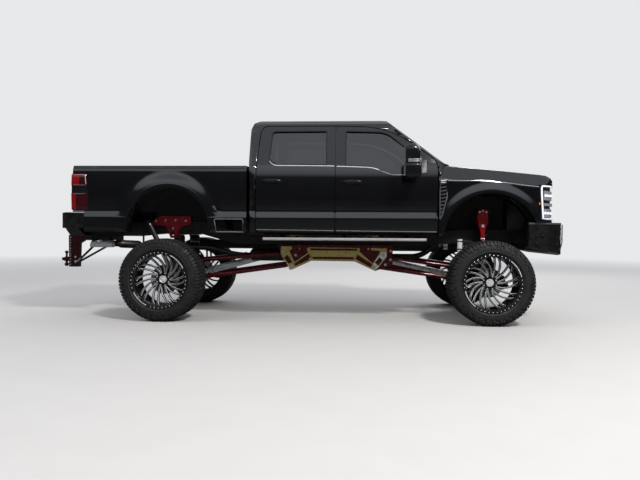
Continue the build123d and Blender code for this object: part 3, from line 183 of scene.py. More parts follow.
SURFACES = {
    "black_paint": dict(colour=(0.0022, 0.0024, 0.0028), rough=0.06, vary=0.1, grain=2, bump=0.02,
                        bump_grain=160, dust=0.003, ior=1.8),
    "wheel_black": dict(colour=(0.008, 0.008, 0.009), rough=0.12, vary=0.2, grain=9, dust=0.03),
    "machined": dict(colour=(0.78, 0.79, 0.80), rough=0.3, metal=0.45, vary=0.1, grain=30, bump=0.05,
                     bump_grain=900),
    "chrome": dict(colour=(0.82, 0.83, 0.84), rough=0.14, metal=0.75, vary=0.04, grain=12),
    "rubber": dict(colour=(0.0065, 0.0065, 0.007), rough=0.7, vary=0.3, grain=14, bump=0.25, bump_grain=500,
                   dust=0.02),
    "frame_black": dict(colour=(0.006, 0.006, 0.0065), rough=0.36, vary=0.3, grain=12, bump=0.12,
                        bump_grain=300, dust=0.02),
    "red_coat": dict(colour=(0.07, 0.0008, 0.002), rough=0.25, metal=0.2, vary=0.12, grain=20, bump=0.03,
                     bump_grain=600, coat=0.25),
    "gold_coat": dict(colour=(0.52, 0.43, 0.15), rough=0.32, metal=0.55, vary=0.05, grain=24, bump=0.03,
                      bump_grain=700),
    "machined_steel": dict(colour=(0.55, 0.56, 0.57), rough=0.28, metal=0.6, vary=0.15, grain=26, bump=0.06,
                           bump_grain=800, dust=0.05),
    "driveline": dict(colour=(0.62, 0.63, 0.65), rough=0.3, metal=0.5, vary=0.14, grain=16, bump=0.08,
                      bump_grain=600, dust=0.06),
    "cast_metal": dict(colour=(0.02, 0.019, 0.018), rough=0.5, metal=0.5, vary=0.4, grain=30, bump=0.5,
                       bump_grain=320, dust=0.06),
    "exhaust_metal": dict(colour=(0.5, 0.48, 0.45), rough=0.33, metal=1.0, vary=0.2, grain=9, bump=0.06,
                          bump_grain=500, dust=0.05),
    "pipe_dark": dict(colour=(0.07, 0.066, 0.062), rough=0.45, metal=0.9, vary=0.3, grain=9, bump=0.1,
                      bump_grain=500, dust=0.08),
    "red_dark": dict(colour=(0.03, 0.0006, 0.001), rough=0.3, metal=0.2, vary=0.12, grain=20, coat=0.2),
    "red_bright": dict(colour=(0.26, 0.004, 0.007), rough=0.24, metal=0.2, vary=0.12, grain=20, bump=0.03,
                       bump_grain=600, coat=0.6, dust=0.01),
    "white_coat": dict(colour=(0.75, 0.75, 0.76), rough=0.35, vary=0.05, grain=20, coat=0.3),
    "ball_steel": dict(colour=(0.06, 0.035, 0.033), rough=0.3, metal=0.6, vary=0.2, grain=30),
    "vent_grey": dict(colour=(0.05, 0.052, 0.056), rough=0.5, vary=0.15, grain=20),
    # Grey of real trim, and of the painted highlights along the doors' foot and the windshield's pillars
    "grey_trim_and_highlight": dict(colour=(0.26, 0.265, 0.28), rough=0.3, metal=0.3, vary=0.1, grain=20),
    "step_bright": dict(colour=(0.36, 0.345, 0.335), rough=0.4, metal=0.3, vary=0.1, grain=20),
    "tank": dict(colour=(0.008, 0.008, 0.0085), rough=0.5, vary=0.25, grain=14, bump=0.3, bump_grain=260,
                 dust=0.04),
    "trim_black": dict(colour=(0.008, 0.008, 0.0085), rough=0.42, vary=0.2, grain=20, bump=0.3,
                       bump_grain=700, dust=0.015),
    "gloss_trim": dict(colour=(0.006, 0.006, 0.007), rough=0.09, vary=0.2, grain=10),
    "seat_cloth": dict(colour=(0.035, 0.033, 0.032), rough=0.75, vary=0.25, grain=40, bump=0.5,
                       bump_grain=900),
    "lamp_dark": dict(colour=(0.02, 0.021, 0.023), rough=0.16, vary=0.2, grain=24, coat=0.5),
    "lamp_silver": dict(colour=(0.5, 0.52, 0.55), rough=0.2, metal=0.6, vary=0.1, grain=40),
    "mirror_glass": dict(colour=(0.75, 0.77, 0.8), rough=0.03, metal=1.0, vary=0.02, grain=8),
    "tail_dark": dict(colour=(0.028, 0.002, 0.003), rough=0.06, vary=0.2, grain=40, coat=0.6),
    "bumper_black": dict(colour=(0.005, 0.005, 0.0055), rough=0.3, vary=0.25, grain=14, bump=0.3,
                         bump_grain=520, dust=0.01),
    "bed_liner": dict(colour=(0.014, 0.014, 0.015), rough=0.6, vary=0.25, grain=20, bump=0.6,
                      bump_grain=420, dust=0.12),
}
# Colour and strength of what glows
GLOWS = {
    "light_guide": ((0.78, 0.80, 0.86), 0.3),
    "amber": ((0.85, 0.17, 0.02), 0.1),
    "tail_red": ((0.17, 0.003, 0.006), 0.05),
    "tail_guide": ((0.62, 0.30, 0.30), 0.12),
}

M = {name: surface(name, **finish) for name, finish in SURFACES.items()}
M.update({name: glow_material(name, *glow) for name, glow in GLOWS.items()})
M["glass"] = glass_material("glass", (0.10, 0.105, 0.11))

# The finish of each solid that shows as it is: its slot's own, unless named here
SLOT_FINISH = {"tyre": "rubber", "air_bag": "rubber", "lamp_lens": "lamp_dark", "tail_lens": "tail_red"}
NODE_FINISH = {"spring_towers": "red_bright", "gearbox": "cast_metal", "steps": "frame_black"}


def dress_nodes():
    """Gives each solid the finish of its slot."""
    for row in frame["record"]["subparts"]:
        name, slot = row["node"], row["material_slot"]
        materials = NODES[name].data.materials
        materials.clear()
        materials.append(M[NODE_FINISH.get(name, SLOT_FINISH.get(slot, slot))])


dress_nodes()


# Mesh building

# Thickness of the washer under a bolt's head
WASHER = 2.5


class Shape:
    """Collects corners and faces in millimetres, and makes them one piece."""

    def __init__(self):
        self.verts = []
        self.faces = []
        self.marks = []

    def add(self, verts, faces, mark=0):
        """Adds faces with one mark for all or a mark for each, which chooses their material."""
        base = len(self.verts)
        self.verts += [tuple(v) for v in verts]
        self.faces += [tuple(base + i for i in face) for face in faces]
        marks = mark if isinstance(mark, list) else [mark] * len(faces)
        self.marks += marks
        return self

    def box(self, x0, x1, y0, y1, z0, z1, mark=0):
        """A box between its low and high faces along each axis."""
        corners = [(x, y, z) for x in (x0, x1) for y in (y0, y1) for z in (z0, z1)]
        faces = [(0, 1, 3, 2), (4, 6, 7, 5), (0, 4, 5, 1), (2, 3, 7, 6), (0, 2, 6, 4), (1, 5, 7, 3)]
        return self.add(corners, faces, mark)

    def skin(self, rows, mark=0, caps=True):
        """A surface through closed rows of points, each row with as many points."""
        n = len(rows[0])
        verts = [p for row in rows for p in row]
        faces = []
        for i in range(len(rows) - 1):
            for j in range(n):
                k = (j + 1) % n
                faces.append((i * n + j, i * n + k, (i + 1) * n + k, (i + 1) * n + j))
        if caps:
            faces.append(tuple(range(n))[::-1])
            faces.append(tuple((len(rows) - 1) * n + j for j in range(n)))
        return self.add(verts, faces, mark)

    def tube(self, path, radius, sides=12, mark=0):
        """A round bar along a path. The radius is one number or one for each point."""
        points = [Vector(p) for p in path]
        radii = radius if isinstance(radius, (list, tuple)) else [radius] * len(points)
        ring = [2 * math.pi * j / sides for j in range(sides)]
        rows = []
        up = None
        for i, p in enumerate(points):
            ahead = (points[min(i + 1, len(points) - 1)] - points[max(i - 1, 0)]).normalized()
            if up is None:
                up = ahead.orthogonal().normalized()
            up = (up - ahead * up.dot(ahead)).normalized()
            across = ahead.cross(up)
            rows.append([tuple(p + (up * math.cos(a) + across * math.sin(a)) * radii[i]) for a in ring])
        return self.skin(rows, mark)

    def lathe(self, centre, axis, profile, sides=48, mark=0, closed=False):
        """Turns (radius, height) points about an axis through the centre."""
        axis = Vector(axis).normalized()
        up = axis.orthogonal().normalized()
        across = axis.cross(up)
        centre = Vector(centre)
        rows = []
        for j in range(sides):
            a = 2 * math.pi * j / sides
            out = up * math.cos(a) + across * math.sin(a)
            rows.append([tuple(centre + out * r + axis * h) for r, h in profile])
        n = len(profile)
        verts = [p for row in rows for p in row]
        faces = []
        for j in range(sides):
            k = (j + 1) % sides
            for i in range(n if closed else n - 1):
                m = (i + 1) % n
                faces.append((j * n + i, j * n + m, k * n + m, k * n + i))
        if not closed:
            for i in (0, n - 1):
                if profile[i][0] > 0:
                    loop = [j * n + i for j in range(sides)]
                    faces.append(tuple(loop if i else loop[::-1]))
        return self.add(verts, faces, mark)

    def plate(self, corners, offset, mark=0):
        """A flat polygon given a thickness along the offset."""
        low = [Vector(c) for c in corners]
        high = [c + Vector(offset) for c in low]
        n = len(low)
        faces = [tuple(range(n))[::-1], tuple(range(n, 2 * n))]
        faces += [(i, (i + 1) % n, n + (i + 1) % n, n + i) for i in range(n)]
        return self.add(low + high, faces, mark)

    def bolt(self, centre, axis, radius, height):
        """A hexagon bolt head with a washer."""
        axis = Vector(axis).normalized()
        washer = [(radius * 1.45, 0), (radius * 1.45, WASHER), (radius * 1.3, WASHER + 0.5)]
        head = [(radius, 0), (radius, height * 0.8), (radius * 0.85, height), (0, height)]
        self.lathe(centre, axis, washer, 20)
        return self.lathe(Vector(centre) + axis * WASHER, axis, head, 6)

    def flipped(self):
        """The mirror image across the middle plane."""
        return Shape().add([(x, -y, z) for x, y, z in self.verts], [face[::-1] for face in self.faces],
                           self.marks)

    def mirror(self):
        """Adds the mirror image on the other side of the truck."""
        other = self.flipped()
        return self.add(other.verts, other.faces, other.marks)

    def make(self, name, slot, mats, body="chassis", bevel=0.0, angle=40, subdivide=0, place=at):
        """One piece that rides on a body. The marks of its faces count through the materials."""
        mesh = bpy.data.meshes.new(name)
        mesh.from_pydata([place(*v) for v in self.verts], [], self.faces)
        for key in mats:
            mesh.materials.append(M[key])
        mesh.polygons.foreach_set("material_index", self.marks)
        work = bmesh.new()
        work.from_mesh(mesh)
        bmesh.ops.remove_doubles(work, verts=work.verts, dist=1e-6)
        bmesh.ops.recalc_face_normals(work, faces=work.faces)
        work.to_mesh(mesh)
        work.free()
        made = bpy.data.objects.new(name, mesh)
        bpy.context.scene.collection.objects.link(made)
        finish_mesh(made, bevel, angle, subdivide)
        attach(made, body)
        return made


def round_edges(made, width, angle):
    """Rounds the edges that are sharper than an angle in degrees."""
    edge = made.modifiers.new("Edge", "BEVEL")
    edge.width = width * MM
    edge.segments = 2
    edge.limit_method = "ANGLE"
    edge.angle_limit = math.radians(angle)
    edge.harden_normals = True


def finish_mesh(made, bevel, angle, subdivide):
    """Rounds the sharp edges and shades the rest smooth."""
    made.data.shade_smooth()
    made.data.set_sharp_from_angle(angle=math.radians(angle))
    if subdivide:
        smooth = made.modifiers.new("Smooth", "SUBSURF")
        smooth.levels = subdivide
        smooth.render_levels = subdivide
    if bevel:
        round_edges(made, bevel, angle)


def local(x, y, z):
    """Places a wheel's own mesh, which is made round its own centre."""
    return Vector((x * MM, y * MM, z * MM))


# Tyres and wheels, made round their own centre with the outer face towards +Y

# Radii of the tread, of the floor between its lugs, of the bead, and of the ring of rivets
TYRE_R, TREAD_FLOOR, BEAD_R, RING_R = 515, 497, 335, 341.5
# How far the rim's outer lip lies from the wheel's middle plane
LIP_PLANE = 190
TYRE_SIDES = 180
# Pitches of tread round the tyre, and how much wider a lug is at its root
PITCHES, LUG_FLARE = 36, 2.2

# One pitch of tread: corners as (share of a pitch, distance from the tyre's middle plane)
TREAD_BLOCKS = [
    [(0.02, 8), (0.40, 2), (0.52, 40), (0.36, 74), (0.10, 66), (0.00, 34)],
    [(0.55, 14), (0.90, 6), (1.00, 30), (0.92, 62), (0.66, 72), (0.52, 54)],
    [(0.10, 84), (0.40, 90), (0.46, 128), (0.14, 128)],
]
# Shoulder blocks: start and end in the pitch, the radius that each reaches down to, and its skew
SHOULDER_BLOCKS = [(0.02, 0.44, 446, 3), (0.52, 0.93, 464, -3)]
# How far out a shoulder block may stand in y, and the angle that each of its flanks draws in
BLOCK_EDGE, BLOCK_TAPER = 195.5, 0.0042


def carcass():
    """The tyre without its lugs, as (radius, y) from bead to bead."""
    side = [(BEAD_R, 160), (344, 172), (352.5, 176.5), (360, 182), (380, 190), (384, 193.5), (390, 193.5),
            (394, 191.5), (415, 193.5), (438, 192), (444, 189), (468, 183), (486, 172),
            (TREAD_FLOOR - 2, 150), (TREAD_FLOOR, 120)]
    return side + [(TREAD_FLOOR, 0)] + [(r, -y) for r, y in reversed(side)]


def polar(r, turn, y):
    """A point of a wheel, by its radius, its angle and its distance from the middle plane."""
    return (r * math.cos(turn), y, r * math.sin(turn))


def lug(shape, corners, low, high):
    """A tread block from (turn, y) corners, narrower at its top than at its root."""
    turn_mid = sum(t for t, _ in corners) / len(corners)
    y_mid = sum(y for _, y in corners) / len(corners)
    rows = []
    for r, grow in ((low, LUG_FLARE), (high - 2, 0), (high, -1.6)):
        row = []
        for t, y in corners:
            dx, dy = (t - turn_mid) * TYRE_R, y - y_mid
            size = math.hypot(dx, dy)
            scale = 1 + grow / size
            row.append(polar(r, turn_mid + (t - turn_mid) * scale, y_mid + dy * scale))
        rows.append(row)
    return shape.skin(rows)


def shoulder_block(shape, start, end, reach, skew, side, step):
    """A block that starts on the tread and wraps over the shoulder down the sidewall."""
    slope, bend, wall = (0.93, 0.37), (0.7, 0.71), (0.12, 0.99)
    # Radius and y of the block's root, then those of its top
    path = [(TREAD_FLOOR + 2, 100, TYRE_R, 100), (TREAD_FLOOR + 1, 146, TYRE_R - 1.5, 148)]
    for r, y, rise, (nx, ny) in (
        (494, 162, 15, slope), (484, 174, 11, bend), ((484 + reach) / 2, 184, 8, wall),
        (reach, 190, 4.5, wall), (reach - 5, 191, 0.5, wall),
    ):
        path.append((r, y, r + nx * rise, min(y + ny * rise, BLOCK_EDGE)))
    rows = []
    for i, (root_r, root_y, top_r, top_y) in enumerate(path):
        lean = skew * MM * (i - 2)
        rows.append([
            polar(root_r, start * step + lean, side * root_y),
            polar(top_r, start * step + BLOCK_TAPER + lean, side * top_y),
            polar(top_r, end * step - BLOCK_TAPER + lean, side * top_y),
            polar(root_r, end * step + lean, side * root_y),
        ])
    return shape.skin(rows)


def tyre_shape():
    """Carcass, tread blocks in three rows on each half, and blocks over both shoulders."""
    made = Shape()
    made.lathe(ORIGIN, LEFT, carcass(), TYRE_SIDES, closed=True)
    step = 2 * math.pi / PITCHES
    for i in range(PITCHES):
        for side in (1, -1):
            base = i + (0.5 if side < 0 else 0)
            for corners in TREAD_BLOCKS:
                lug(made, [((base + t) * step, side * y) for t, y in corners], TREAD_FLOOR - 3, TYRE_R)
            for start, end, reach, skew in SHOULDER_BLOCKS:
                shoulder_block(made, base + start, base + end, reach, skew, side, step)
    return made


def wheel_profile():
    """The rim from the lip round its barrel, as (radius, y)."""
    return [(352, 176), (352, 188), (350, 190), (333, 190), (331, 188), (329, 178), (321, 166), (320, 150),
            (320, -150), (324, -172), (342, -181), (345, -189), (351, -189), (352, -186), (352, -176),
            (334, -170), (334, 168)]


# Spokes of a wheel, the steps of a branch, and the radii that it runs between
SPOKES, SPOKE_STEPS = 10, 16
SPOKE_INNER, SPOKE_OUTER = 86, 324
# Radii between which the face of the spokes comes outwards, and the back of the hub
DISH_INNER, DISH_OUTER = 90, 322
HUB_BACK = -30
# Rivets on the ring, then the nuts and the cap's bolts, each with the radius of its circle
RIVETS = 44
NUTS, NUT_CIRCLE = 8, 80
CAP_BOLTS, CAP_CIRCLE = 5, 26.5


def dish(r):
    """How far out the face of a spoke lies at a radius."""
    share = max(0.0, min(1.0, (r - DISH_INNER) / (DISH_OUTER - DISH_INNER)))
    return 14 + 84 * share ** 1.7


def spoke(shape, start_turn, bend, widths, side_lift=0.0):
    """One curved branch from the hub to the rim, black on top with machined edges."""
    rows = []

    def on_path(s):
        r = SPOKE_INNER + (SPOKE_OUTER - SPOKE_INNER) * s
        turn = start_turn + bend * s ** 1.15
        return r, Vector((r * math.cos(turn), 0, r * math.sin(turn)))

    for i in range(SPOKE_STEPS + 1):
        s = i / SPOKE_STEPS
        r, here = on_path(s)
        along = (on_path(s + 0.01)[1] - here).normalized()
        across = Vector((-along.z, 0, along.x))
        width = widths[0] + (widths[1] - widths[0]) * min(1, s * 1.6)
        if s > 0.84:
            width += (s - 0.84) / 0.16 * widths[2]
        edge = 5.5 if s < 0.9 else 3.5
        y = dish(r) + side_lift
        deep = 34 + 16 * (1 - s)
        section = [(-width - edge - 3, -deep), (-width - edge, -6), (-width, 0), (width, 0),
                   (width + edge, -6), (width + edge + 3, -deep)]
        rows.append([tuple(here + across * a + Vector((0, y + b, 0))) for a, b in section])
    return shape.skin(rows, [0, 1, 0, 1, 0, 0] * SPOKE_STEPS + [0, 0])


def wheel_shape():
    """Rim, hub, and ten spokes that each split into two swept branches."""
    made = Shape()
    made.lathe(ORIGIN, LEFT, wheel_profile(), 120, closed=True)
    pitch = 2 * math.pi / SPOKES
    for i in range(SPOKES):
        turn = i * pitch
        spoke(made, turn - 0.085, math.radians(17), (2.2, 4.5, 9))
        spoke(made, turn + 0.085, math.radians(33), (2.2, 4.0, 9), -1.0)
    hub = [(0, HUB_BACK), (104, HUB_BACK), (108, -14), (106, 4), (98, 10), (64, 12), (58, 2), (0, 2)]
    made.lathe(ORIGIN, LEFT, hub, 72)
    return made


def trim_shape(bar_turn):
    """Bright trim of one wheel: rivets and two bars on the ring, lug nuts, and the cap."""
    made = Shape()
    rivet = [(5.6, 0), (5.6, 1.6), (4.6, 3.4), (2.4, 4.6), (0, 5)]
    for i in range(RIVETS):
        turn = 2 * math.pi * i / RIVETS
        apart = [abs((turn - bar_turn - k * math.pi + math.pi) % (2 * math.pi) - math.pi) for k in (0, 1)]
        if min(apart) > math.radians(22):
            made.lathe(polar(RING_R, turn, LIP_PLANE - 1), LEFT, rivet, 12)
    for k in (0, 1):
        for start, end in ((-19, -0.4), (0.4, 19)):
            rows = []
            for j in range(13):
                turn = bar_turn + k * math.pi + math.radians(start + (end - start) * j / 12)
                rows.append([polar(RING_R + a, turn, LIP_PLANE + b)
                             for a, b in ((-5.5, -1), (-5, 2.2), (5, 2.2), (5.5, -1))])
            made.skin(rows)
    cap = [(47, 2), (47, 16), (44, 19), (36, 19.5), (33, 17), (20, 17.5), (16, 21), (0, 22.5)]
    made.lathe(ORIGIN, LEFT, cap, 48)
    for i in range(CAP_BOLTS):
        turn = 2 * math.pi * i / CAP_BOLTS + 0.3
        made.lathe(polar(CAP_CIRCLE, turn, 16.5), LEFT, [(5.2, 0), (5.2, 3), (4, 4), (0, 4)], 6)
    for i in range(NUTS):
        turn = 2 * math.pi * (i + 0.5) / NUTS
        made.lathe(polar(NUT_CIRCLE, turn, 9), LEFT, [(9, 0), (9, 8), (7, 11), (0, 12)], 6)
    return made


def make_wheels():
    """Tread, rim and bright trim of each wheel, moved to its centre."""
    tyre, rim = tyre_shape(), wheel_shape()
    for place, x, bar_turn in (("front", 0, math.radians(34)), ("rear", REAR_AXLE_X, math.radians(45))):
        trim = trim_shape(bar_turn)
        for side_name, side in SIDES.items():
            corner = f"{place}_{side_name}"
            body = f"wheel_{corner}"
            for name, replaced, shape, slot, mats in (
                ("tread", f"tyre_{corner}", tyre, "tyre", ["rubber"]),
                ("rim", f"wheel_{corner}", rim, "wheel_black", ["wheel_black", "machined"]),
                ("wheel_trim", None, trim, "machined_steel", ["machined"]),
            ):
                used = shape if side > 0 else shape.flipped()
                piece = used.make(f"{name}_{corner}", slot, mats, body=body, place=local, angle=32)
                piece.location = at(x, side * WHEEL_Y, WHEEL_Z)
                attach(piece, body)
                if replaced:
                    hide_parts(replaced)


make_wheels()


# Painted body sides: a dense skin over the solids, so that reflections run as on pressed steel

# Heights of the door's foot, the widest line, the crease and the belt of the cab, and of the bed's rail
DOOR_BOTTOM, WIDEST, CREASE, BELT, BED_RAIL = 1122, 1290, 1378, 1950, 1945
HALF_WIDTH = 1012
# How far the skin lies over the solids, how deep its edge folds in, and how far a door's skin is grown
# past the outline of the door
SKIN, SKIN_FOLD, DOOR_GROWTH = 1.2, 20, 3.5
# Wheel arches as (x, height, radius)
FRONT_ARCH = (8, 1035, 575)
REAR_ARCH = (-4000, 1152, 521)
# The swelling round the rear arch: its reach, its rise, and the half width that it starts from
BULGE_REACH, BULGE_RISE, BULGE_FROM = 205, 26, 1008
# How far the corners of each outline are smoothed
SIDE_ROUND, FENDER_ROUND, FLARE_ROUND, PLAN_ROUND = 11, 26, 14, 30
# Heights of the fender's shoulder and of the hood's side edge, by x
SHOULDER = [(-626, 1757), (50, 1711), (620, 1673), (900, 1655)]
HOOD_EDGE = [(-626, 1957), (50, 1903), (620, 1845), (900, 1805)]


def along_line(points, t):
    """The value at t on a line through (t, value) points."""
    if t <= points[0][0]:
        return points[0][1]
    for (t0, v0), (t1, v1) in zip(points, points[1:]):
        if t <= t1:
            return v0 + (v1 - v0) * (t - t0) / (t1 - t0)
    return points[-1][1]


def arc_points(start, through, end, count=14):
    """Points of the arc through three points."""
    (ax, ay), (bx, by), (cx, cy) = start, through, end
    d = 2 * (ax * (by - cy) + bx * (cy - ay) + cx * (ay - by))
    ux = ((ax**2 + ay**2) * (by - cy) + (bx**2 + by**2) * (cy - ay) + (cx**2 + cy**2) * (ay - by)) / d
    uy = ((ax**2 + ay**2) * (cx - bx) + (bx**2 + by**2) * (ax - cx) + (cx**2 + cy**2) * (bx - ax)) / d
    r = math.hypot(ax - ux, ay - uy)
    a0, a1 = math.atan2(ay - uy, ax - ux), math.atan2(cy - uy, cx - ux)
    turn = (a1 - a0 + math.pi) % (2 * math.pi) - math.pi
    return [(ux + r * math.cos(a0 + turn * i / count), uy + r * math.sin(a0 + turn * i / count))
            for i in range(count + 1)]


def by_height(points):
    """(y, z) points as (z, y), to be looked up by their height."""
    return [(z, y) for y, z in points]


# Half widths of the cab and of the bed, by height
CAB_SIDE = ([(1060, 900), (1085, 960), (DOOR_BOTTOM, 1000), (WIDEST, HALF_WIDTH)]
            + by_height(arc_points((990, CREASE), (1001, 1620), (962, BELT)))
            + by_height(arc_points((962, BELT), (873, 2206), (768, 2450)))[1:] + [(2475, 748)])
BED_SIDE = ([(1110, 985), (1130, 1006), (WIDEST, HALF_WIDTH)]
            + by_height(arc_points((990, CREASE), (1002, 1640), (985, 1900))) + [(BED_RAIL, 965)])


def smoothed(points, t, reach):
    """The value of a line at t, averaged over a short reach so that its corners are round."""
    steps = (-1.0, -0.7, -0.4, -0.15, 0.15, 0.4, 0.7, 1.0)
    weights = (0.4, 0.8, 1.1, 1.3, 1.3, 1.1, 0.8, 0.4)
    total = sum(w * along_line(points, t + reach * s) for s, w in zip(steps, weights))
    return total / sum(weights)


def bulge(x, z, arch):
    """How far the side swells out round a wheel arch."""
    cx, cz, radius = arch
    share = max(0.0, (math.hypot(x - cx, z - cz) - radius)) / BULGE_REACH
    return BULGE_RISE * (1 - share * share) ** 2 if share < 1 else 0.0


def cab_y(x, z):
    """Half width of the cab's side at a height."""
    return SKIN + smoothed(CAB_SIDE, z, SIDE_ROUND)


def bed_y(x, z):
    """Half width of the bed's side, with the swelling round its arch."""
    swell = bulge(x, z, REAR_ARCH)
    base = smoothed(BED_SIDE, z, SIDE_ROUND)
    full = max(base, BULGE_FROM)
    return SKIN + base + swell * (1 + (full - base) / BULGE_RISE)


# Half width of the nose, by x
NOSE_PLAN = [(500, 1040), (520, 1040), (640, 994), (690, 970), (740, 922), (790, 855), (815, 760),
             (838, 560)]
# How far the front flare stands out, by the distance outside the arch
FLARE_RISE = [(0, 26), (22, 26), (50, 22.2), (136, 0), (200, 0)]
# How much the shoulder is lifted everywhere, and how it humps up over the wheel
SHOULDER_LIFT, HUMP_RISE, HUMP_LENGTH = 15, 34, 330


def fender_y(x, z):
    """Half width of the front fender, with its hump, its flare and the nose's turn in."""
    cx, cz, radius = FRONT_ARCH
    shoulder = along_line(SHOULDER, x) + SHOULDER_LIFT + HUMP_RISE * math.exp(-((x - cx) / HUMP_LENGTH) ** 2)
    edge = along_line(HOOD_EDGE, x)
    side = [(1085, 1006), (WIDEST, HALF_WIDTH), (shoulder, 1010.5), (edge, 890), (edge + 40, 866)]
    base = smoothed(side, z, FENDER_ROUND)
    swell = smoothed(FLARE_RISE, math.hypot(x - cx, z - cz) - radius, FLARE_ROUND)
    limit = smoothed(NOSE_PLAN, x, PLAN_ROUND)
    return SKIN + min(base + swell, limit + 3)


def rounded(points, radii, steps=7):
    """A polygon's corners rounded by their radii, in the polygon's plane."""
    made = []
    n = len(points)
    for i in range(n):
        p = Vector(points[i])
        radius = radii[i] if isinstance(radii, (list, tuple)) else radii
        before = Vector(points[i - 1]) - p
        after = Vector(points[(i + 1) % n]) - p
        if radius == 0:
            made.append(tuple(p))
            continue
        half = before.angle(after) / 2
        back = min(radius / math.tan(half), before.length * 0.49, after.length * 0.49)
        radius = back * math.tan(half)
        a, b = p + before.normalized() * back, p + after.normalized() * back
        centre = p + (before.normalized() + after.normalized()).normalized() * (radius / math.sin(half))
        start, end = a - centre, b - centre
        turn = start.angle_signed(end) * -1
        for j in range(steps + 1):
            angle = turn * j / steps
            c, s = math.cos(angle), math.sin(angle)
            made.append((centre.x + start.x * c - start.y * s, centre.y + start.x * s + start.y * c))
    return made


def grown(points, by):
    """A closed line moved outwards by a distance."""
    n = len(points)
    area = sum(points[i][0] * points[(i + 1) % n][1] - points[(i + 1) % n][0] * points[i][1]
               for i in range(n))
    sign = 1 if area > 0 else -1
    made = []
    for i in range(n):
        before = (Vector(points[i]) - Vector(points[i - 1])).normalized()
        after = (Vector(points[(i + 1) % n]) - Vector(points[i])).normalized()
        out = Vector((before.y + after.y, -before.x - after.x))
        if out.length < 1e-9:
            out = Vector((before.y, -before.x))
        out.normalize()
        square = max(0.4, out.dot(Vector((before.y, -before.x))))
        made.append(tuple(Vector(points[i]) + out * (sign * by / square)))
    return made


def dense(points, step=24):
    """A closed line with extra points, none further apart than the step."""
    made = []
    for a, b in zip(points, points[1:] + points[:1]):
        count = max(1, math.ceil(math.dist(a, b) / step))
        made += [(a[0] + (b[0] - a[0]) * i / count, a[1] + (b[1] - a[1]) * i / count) for i in range(count)]
    return made


def inside(point, polygon):
    """Whether a point lies in a closed line."""
    x, y = point
    hit = False
    for (x0, y0), (x1, y1) in zip(polygon, polygon[1:] + polygon[:1]):
        if (y0 > y) != (y1 > y) and x < x0 + (x1 - x0) * (y - y0) / (y1 - y0):
            hit = not hit
    return hit


def near_line(point, polygon, reach):
    """Whether a point lies close to a closed line."""
    p = Vector(point)
    for a, b in zip(polygon, polygon[1:] + polygon[:1]):
        a, b = Vector(a), Vector(b)
        along = b - a
        share = max(0.0, min(1.0, (p - a).dot(along) / max(along.length_squared, 1e-9)))
        if (a + along * share - p).length < reach:
            return True
    return False


def skin_grid(rim, holes, levels_x, levels_z):
    """Triangles that fill an outline with holes, with a grid of points inside it."""
    loops = [rim] + holes
    verts, edges = [], []
    for loop in loops:
        base = len(verts)
        verts += loop
        edges += [(base + i, base + (i + 1) % len(loop)) for i in range(len(loop))]
    for x in levels_x:
        for z in levels_z:
            if inside((x, z), rim) and not any(inside((x, z), hole) for hole in holes):
                if not any(near_line((x, z), loop, 5) for loop in loops):
                    verts.append((x, z))
    points, _, faces, _, _, _ = delaunay_2d_cdt([Vector(v) for v in verts], edges, [], 0, 1e-4)
    kept = []
    for face in faces:
        centre = sum((points[i] for i in face), Vector((0, 0))) / len(face)
        if inside(centre, rim) and not any(inside(centre, hole) for hole in holes):
            kept.append(tuple(face))
    return [tuple(p) for p in points], kept


FINE_STEP, FINE_REACH = 8, 34


def levels(low, high, step, fine=()):
    """Even steps of a grid, closer together round each fine place."""
    made = [low + step * i for i in range(int((high - low) / step) + 1)]
    for centre in fine:
        count = int(2 * FINE_REACH / FINE_STEP)
        made = [v for v in made if abs(v - centre) > FINE_REACH]
        made += [centre - FINE_REACH + FINE_STEP * i for i in range(count + 1)]
    return sorted(made)


def side_skin(name, body, side, rim, holes, height, fine=(WIDEST, CREASE), step=26):
    """A panel of the body side: its surface, and the edge turned in round it."""
    rim = dense(rim)
    holes = [dense(hole, 18) for hole in holes]
    xs, zs = [p[0] for p in rim], [p[1] for p in rim]
    points, faces = skin_grid(rim, holes, levels(min(xs), max(xs), step),
                              levels(min(zs), max(zs), step, fine))
    verts = [(x, side * height(x, z), z) for x, z in points]
    counts = Counter(frozenset(pair) for face in faces for pair in zip(face, face[1:] + face[:1]))
    edge = [tuple(pair) for pair, used in counts.items() if used == 1]
    rows = sorted({i for pair in edge for i in pair})
    place = {i: len(verts) + k for k, i in enumerate(rows)}
    verts += [(verts[i][0], verts[i][1] - side * SKIN_FOLD, verts[i][2]) for i in rows]
    folds = [(a, b, place[b], place[a]) for a, b in edge]
    Shape().add(verts, faces + folds).make(name, "black_paint", ["black_paint"], body=body, bevel=2.2,
                                           angle=38)


def both_sides(name, body, rim, holes, height, **more):
    """The same panel on the left and on the right, each on its own body unless that is the chassis."""
    for side_name, side in SIDES.items():
        carrier = body if body == "chassis" else f"{body}_{side_name}"
        side_skin(f"{name}_{side_name}", carrier, side, rim, holes, height, **more)


def front_door_rim():
    """Outline of the front door, round past the mirror and up the windshield's pillar."""
    foot = rounded([(-1892, 2470), (-1892, DOOR_BOTTOM), (-640, DOOR_BOTTOM)], [0, 14, 14])
    pillar = arc_points((-640, 1870), (-668, 1996), (-765, 2095), 8)
    bend = arc_points((-1000, 2268), (-1290, 2412), (-1600, 2462), 10)
    return grown(foot + pillar + bend, DOOR_GROWTH)


def rear_door_rim():
    """Outline of the rear door."""
    corners = [(-1906, DOOR_BOTTOM), (-1906, 2470), (-2842, 2470), (-2882, 1900), (-2887, DOOR_BOTTOM)]
    return grown(rounded(corners, [14, 0, 90, 300, 40]), DOOR_GROWTH)


